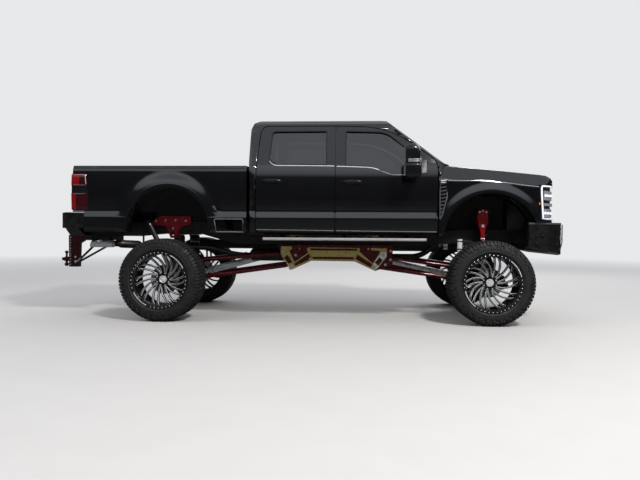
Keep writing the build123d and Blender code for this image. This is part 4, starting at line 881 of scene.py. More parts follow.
FRONT_WINDOW = rounded([(-1776, 1944), (-1480, 1932), (-1200, 1842), (-860, 1841), (-860, 2046),
                        (-1260, 2400), (-1776, 2414)], [15, 120, 120, 15, 40, 300, 15])
REAR_WINDOW = rounded([(-2734, 2030), (-2650, 1961), (-2003, 1957), (-2009, 2416), (-2712, 2412)],
                      [50, 60, 15, 15, 50])


def arc_line(cx, cz, radius, start, end, count):
    """Points of a circle in the side view, between two angles in degrees."""
    return [(cx + radius * math.cos(math.radians(start + (end - start) * i / count)),
             cz + radius * math.sin(math.radians(start + (end - start) * i / count)))
            for i in range(count + 1)]


ARCH_GAP = 0.8
HOOD_OVERLAP = 12


def fender_rim():
    """Outline of the front fender, with its arch, the lamp's edge and the hood's edge."""
    cx, cz, radius = FRONT_ARCH
    rear_z, front_z = 1086, 1256
    start = 180 - math.degrees(math.asin((rear_z - cz) / radius))
    end = math.degrees(math.asin((front_z - cz) / radius))
    arch = arc_line(cx, cz, radius + ARCH_GAP, start, end, 40)
    top = [(x, along_line(HOOD_EDGE, x) - HOOD_OVERLAP) for x in (690, 620, 400, 200, 50, -300, -622)]
    return [(-622, rear_z)] + arch + [(613, front_z), (611, 1296), (571, 1690), (690, 1715)] + top


def bed_rim():
    """Outline of the bed's side, with its arch, the foot hold and the tail lamp's edge."""
    cx, cz, radius = REAR_ARCH
    foot, front, rear, rail = 1114, -3008, -5080, 1930
    low = math.degrees(math.asin((foot - cz) / radius))
    arch = arc_line(cx, cz, radius + ARCH_GAP, 180 - low, low, 44)
    hold = [(-3381, foot), (-3408, 1278), (-3047, 1278), (-3047, foot)]
    top = [(front, foot), (front, rail), (-5228, rail), (-5228, 1852)]
    lamp = [(-5037, 1840), (-5018, 1742), (-5022, 1600), (-5036, 1380)]
    return [(rear, foot)] + arch + hold + top + lamp + [(rear, 1380)]


def make_body_sides():
    """Painted skins of the doors, the fenders and the bed."""
    both_sides("front_door_skin", "front_door", front_door_rim(), [FRONT_WINDOW], cab_y)
    both_sides("rear_door_skin", "rear_door", rear_door_rim(), [REAR_WINDOW], cab_y)
    both_sides("fender_skin", "chassis", fender_rim(), [], fender_y, fine=(), step=14)
    both_sides("bed_side_skin", "chassis", bed_rim(), [], bed_y)


make_body_sides()


# Solids that stay: their edges are rounded where they are

SOFT_EDGES = {"cab": 3.0, "hood": 3.0, "bed": 2.5, "frame_rails": 4.0, "crossmembers": 4.0,
              "link_mounts": 2.5, "link_mount_faces": 1.6, "spring_towers": 2.5, "front_bumper": 4.0,
              "rear_bumper": 5.0, "tailgate": 3.0, "grille": 3.0, "fuel_tank": 12.0, "engine": 8.0,
              "radiator": 3.0, "dashboard": 14.0, "front_axle": 4.0, "rear_axle": 4.0, "gearbox": 6.0,
              "fenders": 2.0, "knuckle_left": 3.0, "knuckle_right": 3.0, "front_door_left": 2.0,
              "front_door_right": 2.0, "rear_door_left": 2.0, "rear_door_right": 2.0}


def soften_nodes():
    """Joins the solids' corners and rounds their edges."""
    for name, width in SOFT_EDGES.items():
        weld = NODES[name].modifiers.new("Join corners", "WELD")
        weld.merge_threshold = 1e-5
        round_edges(NODES[name], width, 32)


soften_nodes()


# Nose: lamps, grille, bumper and vent

# The lamps' face in plan, from the side round to the front
NOSE_ROUND = [(574, 1015), (612, 1006), (650, 991), (690, 972), (722, 941), (745, 917), (770, 884),
              (792, 851), (807, 793), (816, 756), (828, 650), (830, 632)]


def sunk(path, depth):
    """A path in plan moved inwards, square to its own direction."""
    made = []
    for i, (x, y) in enumerate(path):
        before, after = path[max(i - 1, 0)], path[min(i + 1, len(path) - 1)]
        along = Vector((after[0] - before[0], after[1] - before[1])).normalized()
        made.append((x + along.y * depth, y - along.x * depth))
    return made


def lamp_bar(shape, path, z, half):
    """A level bar along the lamp's face."""
    rows = []
    for (x, y), (inner_x, inner_y) in zip(path, sunk(path, 14)):
        rows.append([(x, -y, z - half), (x, -y, z + half), (inner_x, -inner_y, z + half),
                     (inner_x, -inner_y, z - half)])
    return shape.skin(rows)


LAMP_FOOT, LAMP_TOP = 1286, 1714
LAMP_WALL, LAMP_DEPTH = 6, 44
# Feet and tops of the two rows of cells, and the least width of a cell
CELL_ROWS = ((1318, 1422), (1528, 1640))
CELL_LEAST = 24


def make_lamp_cases():
    """Open-faced cases of the headlamps: foot, roof, back and inner end."""
    case = Shape()
    back, wall = sunk(NOSE_ROUND, LAMP_DEPTH), sunk(NOSE_ROUND, LAMP_DEPTH + 8)
    for front, low, high in ((NOSE_ROUND, LAMP_FOOT, LAMP_FOOT + LAMP_WALL),
                             (NOSE_ROUND, LAMP_TOP - LAMP_WALL, LAMP_TOP), (back, LAMP_FOOT, LAMP_TOP)):
        loop = [*front, *reversed(wall)]
        case.skin([[(x, -y, z) for x, y in loop] for z in (low, high)])
    for i in (-1, -2):
        (x, y), (inner_x, inner_y) = NOSE_ROUND[i], wall[i]
        case.plate([(x, -y, LAMP_FOOT), (inner_x, -inner_y, LAMP_FOOT), (inner_x, -inner_y, LAMP_TOP),
                    (x, -y, LAMP_TOP)], (0, 4, 0))
    made = case.mirror().make("lamp_cases", "lamp_lens", ["lamp_dark"], bevel=1, angle=50)
    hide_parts("headlamps")


def make_light_bars():
    """White light bars in a C, open to the front."""
    bars = Shape()
    rows = []
    for x, z in ((622, 1700), (606, 1694), (600, 1672), (602, 1600), (612, 1460), (620, 1340), (624, 1294)):
        y = along_line(NOSE_ROUND, x) + 2
        low = along_line(NOSE_ROUND, x + 22) + 2
        rows.append([(x, -y, z), (x + 22, -low, z), (x + 20, -low + 12, z), (x, -y + 12, z)])
    bars.skin(rows)
    for z in (1698, 1300):
        lamp_bar(bars, [(x + 1, y + 1.5) for x, y in NOSE_ROUND[1:9]], z, 9)
    bars.mirror().make("light_bars", "lamp_lens", ["light_guide"], bevel=2, angle=50)


def make_lamp_cells():
    """Two rows of cells, each a block with a silver bowl, and a bar between them."""
    cells = Shape()
    face = sunk(NOSE_ROUND, 12)[2:]
    for low, high in CELL_ROWS:
        for a, b in zip(face, face[1:]):
            if math.dist(a, b) < CELL_LEAST:
                continue
            spot = Vector(((a[0] + b[0]) / 2, -(a[1] + b[1]) / 2, (low + high) / 2))
            along = Vector((b[0] - a[0], a[1] - b[1], 0))
            out = Vector((-along.y, along.x, 0)).normalized()
            out = out if out.x > 0 else -out
            half, up = along * 0.45, Vector((0, 0, (high - low) / 2))
            cells.plate([spot - half - up, spot + half - up, spot + half + up, spot - half + up], out * -30)
            size = min(along.length * 0.42, 32)
            bowl = [(size, 0), (size, 7), (size * 0.86, 7), (size * 0.6, 1), (0, 0)]
            cells.lathe(spot + out, out, bowl, 28, 1)
    lamp_bar(cells, sunk(NOSE_ROUND, 6)[2:10], 1474, 16)
    cells.mirror().make("lamp_cells", "lamp_lens", ["lamp_silver", "light_guide"], bevel=1.5, angle=40)


def make_side_markers():
    """Small amber block at the lamp's rear edge."""
    marker = Shape().box(578, 592, -1014, -1006, 1470, 1500)
    marker.mirror().make("side_markers", "lamp_lens", ["amber"], bevel=2)


def make_grille():
    """Two bowed bars, and the dark mesh behind them."""
    mesh, bars = Shape(), Shape()
    half, low, high = 560, 1305, 1705
    for i in range(30):
        z = low + 7 + i * 13.5
        mesh.box(792, 796, -half, half, z, z + 3.5)
    for i in range(56):
        y = 4 - half + i * 20.2
        mesh.box(790, 794, y, y + 4, low, high)
    mesh.make("grille_mesh", "trim_black", ["trim_black"])
    reach, bow = 590, 12
    for z in (1435, 1575):
        rows = []
        for y in range(-reach, reach + 1, reach // 10):
            x = 846 - (abs(y) / reach) ** 2 * bow
            rows.append([(x - 30, y, z - 11), (x + 8, y, z - 9), (x + 8, y, z + 9), (x - 30, y, z + 11)])
        bars.skin(rows)
    bars.make("grille_bars", "trim_black", ["gloss_trim"], bevel=4)


def make_bumper_trim():
    """Grey lip of the front bumper, its grey corner edge as a painted highlight along the corner's fold, its
    fold and its bolts.
    """
    trim, bright = Shape(), Shape()
    black, grey = 0, 1
    face = [(463, 1008), (700, 1003), (790, 955), (880, 903), (940, 660), (985, 453), (991, 0)]
    lip = [(0, -5, 1232), (0, -5, 1251), (-4, 26, 1254), (-4, 26, 1232)]
    fold = [(1.5, -2, 1120), (1.5, -2, 1128), (-12, 10, 1128), (-12, 10, 1120)]
    for section, mark in ((lip, grey), (fold, black)):
        trim.skin([[(x + dx, -y + dy, z) for dx, dy, z in section] for x, y in face], mark)
    out = (8, -6, 0)
    # Grey corner plates: a painted highlight along the bumper's corner fold
    trim.plate([(884, -908, 1232), (893, -897, 1232), (893, -897, 1010), (884, -908, 1010)], out, grey)
    trim.plate([(884, -908, 1010), (893, -897, 1010), (868, -908, 925), (857, -917, 925)], out, grey)
    for x, y, z in ((560, -1009, 1090), (640, -1008, 1090), (560, -1009, 990), (820, -945, 985),
                    (905, -800, 1180)):
        trim.bolt((x, y, z), (0.25, -1, 0), 11, 8)
    trim.mirror().make("bumper_trim", "bumper_black", ["bumper_black", "vent_grey"], bevel=2)
    for z in (1052, 1072):
        bright.bolt((872, -914, z), (0.6, -0.8, 0), 9, 9)
    bright.mirror().make("bumper_bolts", "machined_steel", ["machined_steel"], bevel=1)


def make_shackles():
    """Red bows on pins under the front bumper."""
    shackles = Shape()
    bow = [math.radians(-200 + 220 * i / 16) for i in range(17)]
    shackles.tube([(985, -436 + 34 * math.cos(a), 962 + 40 * math.sin(a) - 18) for a in bow], 9, 10)
    shackles.tube([(978, -480, 975), (978, -392, 975)], 11, 12)
    shackles.mirror().make("shackles", "red_coat", ["red_coat"], angle=50)


def make_bumper_lamps():
    """Lamp bar in the bumper's opening, with twelve bowls."""
    lamps = Shape().box(932, 940, -360, 360, 1068, 1132)
    for i in range(12):
        y = -330 + i * 60
        lamps.lathe((940, y, 1100), AHEAD, [(24, 0), (24, 3), (20, 3), (14, -1), (0, -2)], 20, 1)
    lamps.make("bumper_lamp_bar", "lamp_lens", ["lamp_dark", "lamp_silver"], bevel=1)


def make_vents():
    """Vent behind the front wheel: a dark frame with slats and two bright bars at its top."""
    dark, bright = Shape(), Shape()
    rim = [(-619, 1784), (-520, 1784), (-520, 1556), (-583, 1330), (-606, 1288), (-619, 1288)]
    hole = [(-608, 1772), (-534, 1772), (-534, 1562), (-594, 1340), (-608, 1316)]
    hole = hole + [hole[-1]]
    rows = []
    for offset_y, loop in ((0, rim), (4, rim), (4, hole), (-12, hole)):
        rows.append([(x, -(fender_y(x, z) - 1 + offset_y), z) for x, z in loop])
    dark.skin(rows, caps=False)
    rear, deep, lean = -607, 9, 14
    front_edge = [(1340, -594), (1562, -536)]
    for i in range(9):
        z = 1712 - i * 44
        front = along_line(front_edge, z)
        y = deep - fender_y(-560, z)
        dark.plate([(rear, y, z), (front, y, z + lean), (front, y, z + 2 * lean), (rear, y, z + lean)],
                   (0, -deep, 0))
    dark.mirror().make("vents", "trim_black", ["vent_grey"], bevel=1.5)
    for z in (1736, 1756):
        bright.box(-606, -540, -(fender_y(-570, z) + 4), -(fender_y(-570, z) - 6), z, z + 9)
    bright.mirror().make("vent_bars", "machined_steel", ["machined"], bevel=2)


# Doors: belt trim, handles and mirrors

def one_side(shape, side):
    """The shape made for the right side, or its mirror image for the left."""
    return shape if side < 0 else shape.flipped()


def strip_on_side(shape, path, height, width, lift=4.0):
    """A trim strip that follows the right side's surface along an (x, z) path in its middle."""
    half = width / 2
    rows = []
    for x, z in path:
        top, low = height(x, z + half), height(x, z - half)
        rows.append([(x, 2 - top, z + half), (x, -top - lift, z + half - 2), (x, -low - lift, z - half + 2),
                     (x, 2 - low, z - half)])
    return shape.skin(rows)


# Lines of the chrome under the windows, as (x, height)
FRONT_BELT = [(-1882, 1940), (-1776, 1938), (-1640, 1934), (-1500, 1928), (-1440, 1921), (-1380, 1904),
              (-1300, 1873), (-1240, 1850), (-1190, 1838), (-1120, 1835), (-1000, 1834), (-900, 1834)]
REAR_BELT = [(-2724, 2010), (-2706, 1985), (-2682, 1966), (-2652, 1954), (-2600, 1951), (-2400, 1950),
             (-2200, 1948), (-2000, 1946), (-1914, 1944)]
SEAL_WIDTH, SEAL_LIFT = 13, 2.4


def window_seal(shape, opening):
    """A dark seal round a window, inside its opening."""
    outer = dense(opening, 30)
    inner = grown(outer, -SEAL_WIDTH)
    rows = []
    for loop, lift in ((outer, -14), (outer, SEAL_LIFT), (inner, SEAL_LIFT - 1), (inner, -16)):
        rows.append([(x, -(cab_y(x, z) + lift), z) for x, z in loop])
    return shape.skin(rows, caps=False)


def make_door_trim():
    """Bright strip along the belt and dark seal round the window of each door."""
    for side_name, side in SIDES.items():
        for place, belt, window in (("front", FRONT_BELT, FRONT_WINDOW), ("rear", REAR_BELT, REAR_WINDOW)):
            body = f"{place}_door_{side_name}"
            chrome, seal = Shape(), Shape()
            strip_on_side(chrome, belt, cab_y, 15)
            window_seal(seal, window)
            for shape, name, slot, mat, bevel in ((chrome, "belt_trim", "machined_steel", "chrome", 2),
                                                  (seal, "window_seal", "trim_black", "gloss_trim", 1)):
                one_side(shape, side).make(f"{name}_{place}_{side_name}", slot, [mat], body=body,
                                           bevel=bevel, angle=50)


def handle_shape(rear, front, z):
    """A pull handle with its bright end cap, and the dark bowl behind it."""
    made = Shape()
    bowl_mark, cap_mark = 1, 2
    y0 = cab_y((rear + front) / 2, z)
    rows = []
    steps = 14
    for i in range(steps + 1):
        s = i / steps
        x = rear + (front - rear) * s
        bow = 1 - (2 * s - 1) ** 6
        out = y0 + 30 * bow + 3
        tall = 15 + 3 * s
        section = [(out - 13 * bow, 1 - tall), (out - 3, -tall - 1), (out, 5 - tall), (out, tall - 4),
                   (out - 3, tall + 1), (out - 13 * bow, tall - 1)]
        rows.append([(x, -y, z + up) for y, up in section])
    made.skin(rows)
    bowl = [(rear + 50, -38), (front - 50, -38), (front - 40, -10), (front - 44, 30), (rear + 44, 30),
            (rear + 40, -10)]
    made.plate([(x, -y0 - 0.6, z + up) for x, up in bowl], (0, -1.2, 0), bowl_mark)
    made.box(front - 46, front - 18, -(y0 + 34), -(y0 + 28), z + 6, z + 12, cap_mark)
    return made


def make_handles():
    """A handle on each door."""
    for side_name, side in SIDES.items():
        for place, rear, front, z in (("rear", -2812, -2564, 1753), ("front", -1810, -1565, 1742)):
            shape = one_side(handle_shape(rear, front, z), side)
            shape.make(f"handle_{place}_{side_name}", "black_paint", ["gloss_trim", "lamp_dark", "chrome"],
                       body=f"{place}_door_{side_name}", bevel=2, angle=42)


def mirror_shape():
    """Tall towing mirror: rounded head, two pale bands, wide lower part, two arms and the sail panel."""
    made = Shape()
    pale, glass, dull = 1, 2, 3
    rows = []
    # z, rear x, front x, inner y, outer y, corner radius
    sections = [(1772, -1030, -915, 1150, 1350, 20), (1778, -1052, -893, 1138, 1362, 34),
                (1796, -1064, -880, 1132, 1368, 42), (1850, -1067, -876, 1130, 1370, 44),
                (1905, -1066, -880, 1130, 1370, 44), (1922, -1064, -886, 1132, 1368, 44),
                (1930, -1062, -892, 1136, 1364, 42), (1938, -1064, -888, 1132, 1368, 44),
                (2040, -1064, -890, 1131, 1369, 46), (2100, -1062, -896, 1132, 1367, 50),
                (2135, -1056, -908, 1136, 1362, 50), (2156, -1040, -930, 1146, 1350, 44),
                (2165, -1010, -955, 1170, 1325, 24)]
    for z, rear, front, near, far, radius in sections:
        loop = rounded([(front, near), (front, far), (rear, far), (rear, near)], [radius, radius, 16, 16], 5)
        rows.append([(x, -y, z) for x, y in loop])
    made.skin(rows)
    band = rounded([(-889, 1131), (-889, 1369), (-1040, 1369), (-1040, 1131)], [44, 44, 10, 10], 5)
    for z in (1950, 1972):
        made.skin([[(-884, -y, z), (-879, -y, z + 3), (-879, -y, z + 10), (-884, -y, z + 13)]
                   for y in range(1136, 1366, 15)], pale)
        made.skin([[(x, -y, z + up) for x, y in grown(band, out)]
                   for out, up in ((-1, 0), (2, 2), (2, 11), (-1, 13))], pale)
    for low, high in ((1955, 2140), (1800, 1915)):
        made.box(-1069, -1061, -1352, -1148, low, high, glass)
    for z in (1892, 1980):
        arm = [(-880, -1000, z), (-905, -1030, z), (-935, -1075, z), (-950, -1140, z)]
        made.tube(arm, [17, 19, 19, 17], 14, dull)
    sail = [(-862, 1852), (-772, 1852), (-768, 2020), (-800, 2030), (-862, 2012)]
    rows = []
    for lift, out in ((-2, 0), (6, 0), (8, -4)):
        rows.append([(x, -(cab_y(x, z) + lift), z) for x, z in grown(sail, out)])
    made.skin(rows, dull)
    made.box(-900, -842, -1022, -988, 1866, 2004, dull)
    return made


def make_mirrors():
    """A tow mirror on each front door."""
    mats = ["gloss_trim", "machined_steel", "mirror_glass", "trim_black"]
    for side_name, side in SIDES.items():
        shape = one_side(mirror_shape(), side)
        piece = shape.make(f"tow_mirror_{side_name}", "trim_black", mats, body=f"front_door_{side_name}",
                           bevel=2.5)
        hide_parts(f"mirror_{side_name}")


make_lamp_cases()
make_light_bars()
make_lamp_cells()
make_side_markers()
make_grille()
make_bumper_trim()
make_shackles()
make_bumper_lamps()
make_vents()
make_door_trim()
make_handles()
make_mirrors()


# Tail: lamps, bed, tailgate, bumper, hitch and steps

# Front edge and outer side of the tail lamp, by height
LAMP_EDGE = [(1382, -5040), (1600, -5027), (1840, -5058)]
LAMP_SIDE = [(1350, 992), (1378, 994), (1640, 1006), (1900, 990)]
LAMP_REAR = -5258
# Heights of the lamp's sections. Those that are drawn in part its three fields
LAMP_LEVELS = [1384, 1389, 1430, 1500, 1584, 1590, 1600, 1690, 1700, 1706, 1780, 1830, 1838]
LAMP_NARROW = (1384, 1600, 1690, 1838)
BAND_LOW, BAND_HIGH = 1588, 1701


def lamp_loop(z, grow):
    """Outline of the tail lamp at a height, with its rounded rear corner."""
    front, out = along_line(LAMP_EDGE, z) - grow * 0.5, along_line(LAMP_SIDE, z) + 2 + grow
    rear = LAMP_REAR - grow
    return rounded([(front, out - 46), (front, out), (-5145, out), (-5190, out), (rear, out), (rear, 890),
                    (rear + 18, 890), (rear + 18, out - 46)], [0, 7, 0, 0, 34, 4, 0, 0], 6)


def make_tail_lamps():
    """Two red lamps with a dark band between them, and a pale light bar round the upper one."""
    lens, bars = Shape(), Shape()
    red, dark_red, dark = 0, 1, 2
    rows = [[(x, -y, z) for x, y in lamp_loop(z, -4 if z in LAMP_NARROW else 0)] for z in LAMP_LEVELS]
    marks = []
    for low, high, row in zip(LAMP_LEVELS, LAMP_LEVELS[1:], rows):
        split = -5190 if low <= LAMP_NARROW[2] else -5145
        band = BAND_LOW < (low + high) / 2 < BAND_HIGH
        for a, b in zip(row, row[1:] + row[:1]):
            lit = red if (a[0] + b[0]) / 2 < split else dark_red
            marks.append(dark if band else lit)
    lens.skin(rows, marks + [dark, dark])
    lens.mirror().make("tail_lenses", "tail_lens", ["tail_red", "tail_dark", "gloss_trim"],
                       bevel=1.5, angle=50)
    edge = [(along_line(LAMP_EDGE, z) - 14, z, 10) for z in (1712, 1760, 1800, 1820)]
    edge += [(-5085, 1829, 8), (-5110, 1831, 6), (-5160, 1831, 4), (-5210, 1831, 4)]
    rows = []
    for i, (x, z, width) in enumerate(edge):
        before, after = edge[max(i - 1, 0)], edge[min(i + 1, len(edge) - 1)]
        across = Vector((before[1] - after[1], 0, after[0] - before[0])).normalized() * (width / 2)
        y = -along_line(LAMP_SIDE, z) - 1
        rows.append([(x + across.x, y - 2.6, z + across.z), (x + across.x, y, z + across.z),
                     (x - across.x, y, z - across.z), (x - across.x, y - 2.6, z - across.z)])
    bars.skin(rows)
    for z in (1588, 1699):
        y = -along_line(LAMP_SIDE, z)
        bars.box(-5222, -5060, y - 3.5, y, z - 2, z + 2, 1)
    made = bars.mirror().make("tail_light_bars", "tail_lens", ["tail_guide", "grey_trim_and_highlight"], bevel=1)
    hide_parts("tail_lamps")


def make_bed_caps():
    """Caps on the bed's rails and headboard."""
    caps = Shape()
    cap_foot, wall = 1914, 849.5
    rows = []
    for x, rise in ((-3010, 0), (-3020, 3), (-5222, 3), (-5230, 0)):
        outer = [(-bed_y(x, z) - 1.5 - rise * 0.5, z) for z in (cap_foot, 1930)]
        top = [(-958, BED_RAIL + 0.5 + rise), (-850, BED_RAIL + 0.5 + rise), (-845, BED_RAIL - 6),
               (-845, 1922), (-wall, 1922), (-wall, BED_RAIL + 0.4), (-962, BED_RAIL + 0.4),
               (1 - bed_y(x, cap_foot), cap_foot)]
        rows.append([(x, y, z) for y, z in outer + top])
    caps.skin(rows)
    caps.mirror()
    caps.box(-3060, -3009, -846, 846, BED_RAIL + 0.3, BED_RAIL + 5)
    caps.make("bed_caps", "bumper_black", ["bed_liner"], bevel=1.5)


def make_bed_ribs():
    """Ribs of the bed's floor and of its walls."""
    ribs = Shape()
    rib_start, rib_length = -3060, 2080
    for i in range(17):
        y = i * 75 - 600
        section = [(y - 18, 1404.5), (y - 12, 1411), (y + 12, 1411), (y + 18, 1404.5)]
        ribs.plate([(rib_start, across, z) for across, z in section], (-rib_length, 0, 0))
    for x in (-3160, -3300, -4700, -4840, -4980, -5120):
        for side in (-1, 1):
            ribs.box(x - 20, x + 20, side * 850.5, side * 846, 1420, 1905)
    ribs.make("bed_ribs", "bumper_black", ["bed_liner"], bevel=2)


def make_tie_downs():
    """Rings on plates, along the bed's walls."""
    rings = Shape()
    half_turn = [math.radians(180 + 22.5 * i) for i in range(9)]
    for x in (-3110, -3560, -4560, -5060):
        rings.box(x - 26, x + 26, -851, -844, 1826, 1880)
        rings.tube([(x + 20 * math.cos(a), -840, 1850 + 20 * math.sin(a)) for a in half_turn], 4, 8, 1)
    rings.mirror().make("tie_downs", "machined_steel", ["gloss_trim", "machined_steel"], bevel=1)


def make_tailgate():
    """Bezel and handle, the spoiler lip and the raised field of the tailgate."""
    trim, bright = Shape(), Shape()
    bezel, foot, top = 158, 1766, 1876
    for low, high in ((foot, foot + 8), (top - 8, top)):
        trim.box(-5236, -5222, -bezel, bezel, low, high)
    for low, high in ((-bezel, 10 - bezel), (bezel - 10, bezel)):
        trim.box(-5236, -5222, low, high, foot, top)
    trim.box(-5239, -5214, -104, 104, 1812, 1848)
    trim.box(-5240, -5231, -826, 826, 1924, 1940)
    rows = []
    for y, rise in ((-806, 0), (-780, 5), (780, 5), (806, 0)):
        rows.append([(-5231, y, 1452), (-5232 - rise, y, 1474), (-5232 - rise, y, 1716), (-5231, y, 1738)])
    trim.skin(rows)
    trim.make("tailgate_trim", "black_paint", ["gloss_trim"], body="tailgate", bevel=2)
    bright.box(-5241, -5238, -70, 70, 1826, 1834)
    bright.make("tailgate_handle", "machined_steel", ["chrome"], body="tailgate", bevel=1)


def make_rear_bumper():
    """Step pads on the rear bumper, and its bare plate holder between two lamps."""
    pads, lamps = Shape(), Shape()
    bumper_top, pad_top = 1349.5, 1354
    pads.box(-5436, -5268, -480, 480, bumper_top, pad_top)
    for i in range(8):
        pads.box(-5426 + i * 20, -5415 + i * 20, -466, 466, pad_top, pad_top + 3)
    corner = [(-5424, 520), (-5270, 520), (-5270, 980), (-5318, 980), (-5388, 892)]
    for side in (-1, 1):
        pads.plate([(x, side * y, bumper_top) for x, y in corner], (0, 0, 5))
    pads.box(-5456, -5449, -172, 172, 1128, 1256)
    pads.make("rear_bumper_pads", "bumper_black", ["trim_black"], bevel=1.5)
    for y in (-205, 205):
        lamps.lathe((-5449, y, 1236), BACK, [(16, 0), (16, 6), (10, 8), (0, 8)], 20)
    lamps.make("plate_lamps", "lamp_lens", ["lamp_silver"])


# Foot and top of the ball mount, the ends of a brace on the drop plate and on the crossbar, and the
# number of holes in the drop plate
MOUNT_FOOT, MOUNT_TOP = 691, 734
BRACE_LOW, BRACE_HIGH = (-5640, 32, 668), (-5180, 330, 985)
DROP_HOLES = 11


def make_drop_plate():
    """Red drop plate of the hitch, and the ball mount on it."""
    red = Shape()
    half = 41.5
    outline = [(-5540, 1057), (-5540, 976), (-5600, 940), (-5612, 601), (-5755, 601), (-5760, 1057)]
    red.plate([(x, -half, z) for x, z in outline], (0, 2 * half, 0))
    red.box(-5861, -5750, -37, 37, MOUNT_FOOT, MOUNT_TOP)
    red.make("drop_plate", "red_coat", ["red_dark"], bevel=3)


def make_receiver():
    """Black receiver on its crossbar, with a brace on each side and two balls."""
    dark = Shape()
    dark.box(-5568, -5151, -35, 35, 984, 1050)
    dark.box(-5229, -5151, -464, 464, 986, 1044)
    (low_x, low_y, low_z), (high_x, high_y, high_z) = BRACE_LOW, BRACE_HIGH
    for side in (-1, 1):
        dark.tube([(low_x, side * low_y, low_z), (-5612, side * 46, 688), (high_x, side * high_y, high_z)],
                  15, 16)
        dark.box(-5214, -5150, side * high_y - 24, side * high_y + 24, 962, 988)
    for base, way, neck, size in ((MOUNT_TOP, 1, 50, 25), (MOUNT_FOOT, -1, 25, 30)):
        ball = [(size * 1.2, 0), (size * 1.2, 7), (size * 0.6, 11), (size * 0.55, neck)]
        ball += [(size * math.cos(a), neck + size + size * math.sin(a))
                 for a in map(math.radians, range(-56, 76, 12))]
        dark.lathe((-5808, 0, base), (0, 0, way), [*ball, (0, neck + size * 1.97)], 28, 1)
    dark.make("receiver", "frame_black", ["frame_black", "ball_steel"], bevel=2)


def make_hitch_bolts():
    """Rings of the drop plate's holes, its two pins, and the bolts along the braces."""
    bright = Shape()
    for i in range(DROP_HOLES):
        bright.lathe((-5733, -41, 634 + i * 39), RIGHT, [(9, 0), (9, 1.8), (6, 1.8), (0, 0.6)], 14)
    bright.bolt((-5655, -42, 676), RIGHT, 14, 13)
    bright.bolt((-5655, -42, 742), RIGHT, 12, 11)
    for share in (0.03, 0.1, 0.17):
        spot = Vector((-5640, -46, 668)).lerp(Vector((-5180, -335, 980)), share)
        bright.bolt(spot, (-0.2, -1, 0), 9, 9)
    made = bright.mirror().make("hitch_bolts", "machined_steel", ["machined_steel"], bevel=0.8)
    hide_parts("hitch")


def make_steps():
    """Running boards: bright edge strip with end caps, ribbed tread and bolted arms."""
    strip, tread = Shape(), Shape()
    section = [(-1046, 1016), (-1062, 1023), (-1062.5, 1028), (-1057, 1049), (-1053, 1051.5),
               (-1044, 1051.5), (-1044, 1049.5), (-1046, 1020)]
    strip.skin([[(x, y, z) for y, z in section] for x in (-2790, -780)])
    strip.mirror().make("step_strips", "machined_steel", ["step_bright"], bevel=1, angle=40)
    cap = [(-950, 1010), (-1031, 1009), (-1063, 1022), (-1057, 1052), (-950, 1052)]
    for x in (-2796, -781):
        tread.plate([(x, y, z) for y, z in cap], (9, 0, 0))
    for i in range(7):
        tread.box(-2784, -786, -1036 + i * 12, -1029 + i * 12, 1049.5, 1052.5)
    for x in (-1000, -1784, -2570):
        tread.box(x - 36, x + 36, -560, -464, 1009, 1016)
        tread.bolt((x, -520, 1009), DOWN, 12, 9)
    tread.mirror().make("step_treads", "trim_black", ["trim_black"], bevel=1)


def make_foot_highlights_and_hold():
    """Thin grey strip along the foot of the doors, a painted highlight of the doors' lower crease, and the
    framed foot hold behind the cab.
    """
    # Heights of the painted highlight along the doors' foot, by x
    foot = [(-2929, 1148), (-1773, 1139), (-631, 1132)]
    for side_name, side in SIDES.items():
        for place, rear, front in (("rear", -2878, -1914), ("front", -1884, -648)):
            # A grey strip that paints the highlight of each door's lower crease
            line = Shape()
            steps = [rear + (front - rear) * i / 10 for i in range(11)]
            strip_on_side(line, [(x, along_line(foot, x)) for x in steps], cab_y, 10, 1.8)
            one_side(line, side).make(f"door_foot_highlight_{place}_{side_name}", "machined_steel", ["grey_trim_and_highlight"],
                                      body=f"{place}_door_{side_name}", angle=50)
    hold, pad = Shape(), Shape()
    hold_foot = 1113
    rim = rounded([(-3386, hold_foot), (-3412, 1281), (-3043, 1281), (-3043, hold_foot)], [0, 26, 26, 0], 6)
    inner = grown(rim, -7)
    rows = []
    for loop, lift in ((rim, -3), (rim, 2.2), (inner, 2.2), (inner, -12)):
        rows.append([(x, -(bed_y(x, z) + lift), max(z, hold_foot)) for x, z in loop])
    hold.skin(rows, caps=False)
    hold.mirror().make("foot_hold_frames", "machined_steel", ["grey_trim_and_highlight"], bevel=0.8, angle=50)
    pad.box(-3376, -3052, -978, -846, 1127.5, 1132)
    for i in range(9):
        pad.box(-3366 + i * 35, -3350 + i * 35, -972, -852, 1132, 1135)
    pad.box(-3370, -3060, -984, -981.5, 1112, 1122, 1)
    pad.mirror().make("foot_hold_pads", "trim_black", ["trim_black", "grey_trim_and_highlight"], bevel=1)


# Running gear

# How far from the truck's middle lie the links, the shocks, the faces of the red mounts and of their gold
# plates, and the plates of the front towers
LINK_Y, SHOCK_Y = 462, 566
RED_FACE, GOLD_FACE, TOWER_Y = 524.9, 534.9, 642
AXLE_Z = 505
# Each link's pin in the axle's bracket and in the frame's mount, as (x, height)
LINK_ENDS = (
    ((-70, 640), (-1274, 805)), ((-100, 490), (-1387, 668)),
    ((REAR_AXLE_X + 70, 705), (-2589, 844)), ((REAR_AXLE_X + 105, 470), (-2489, 684)),
)


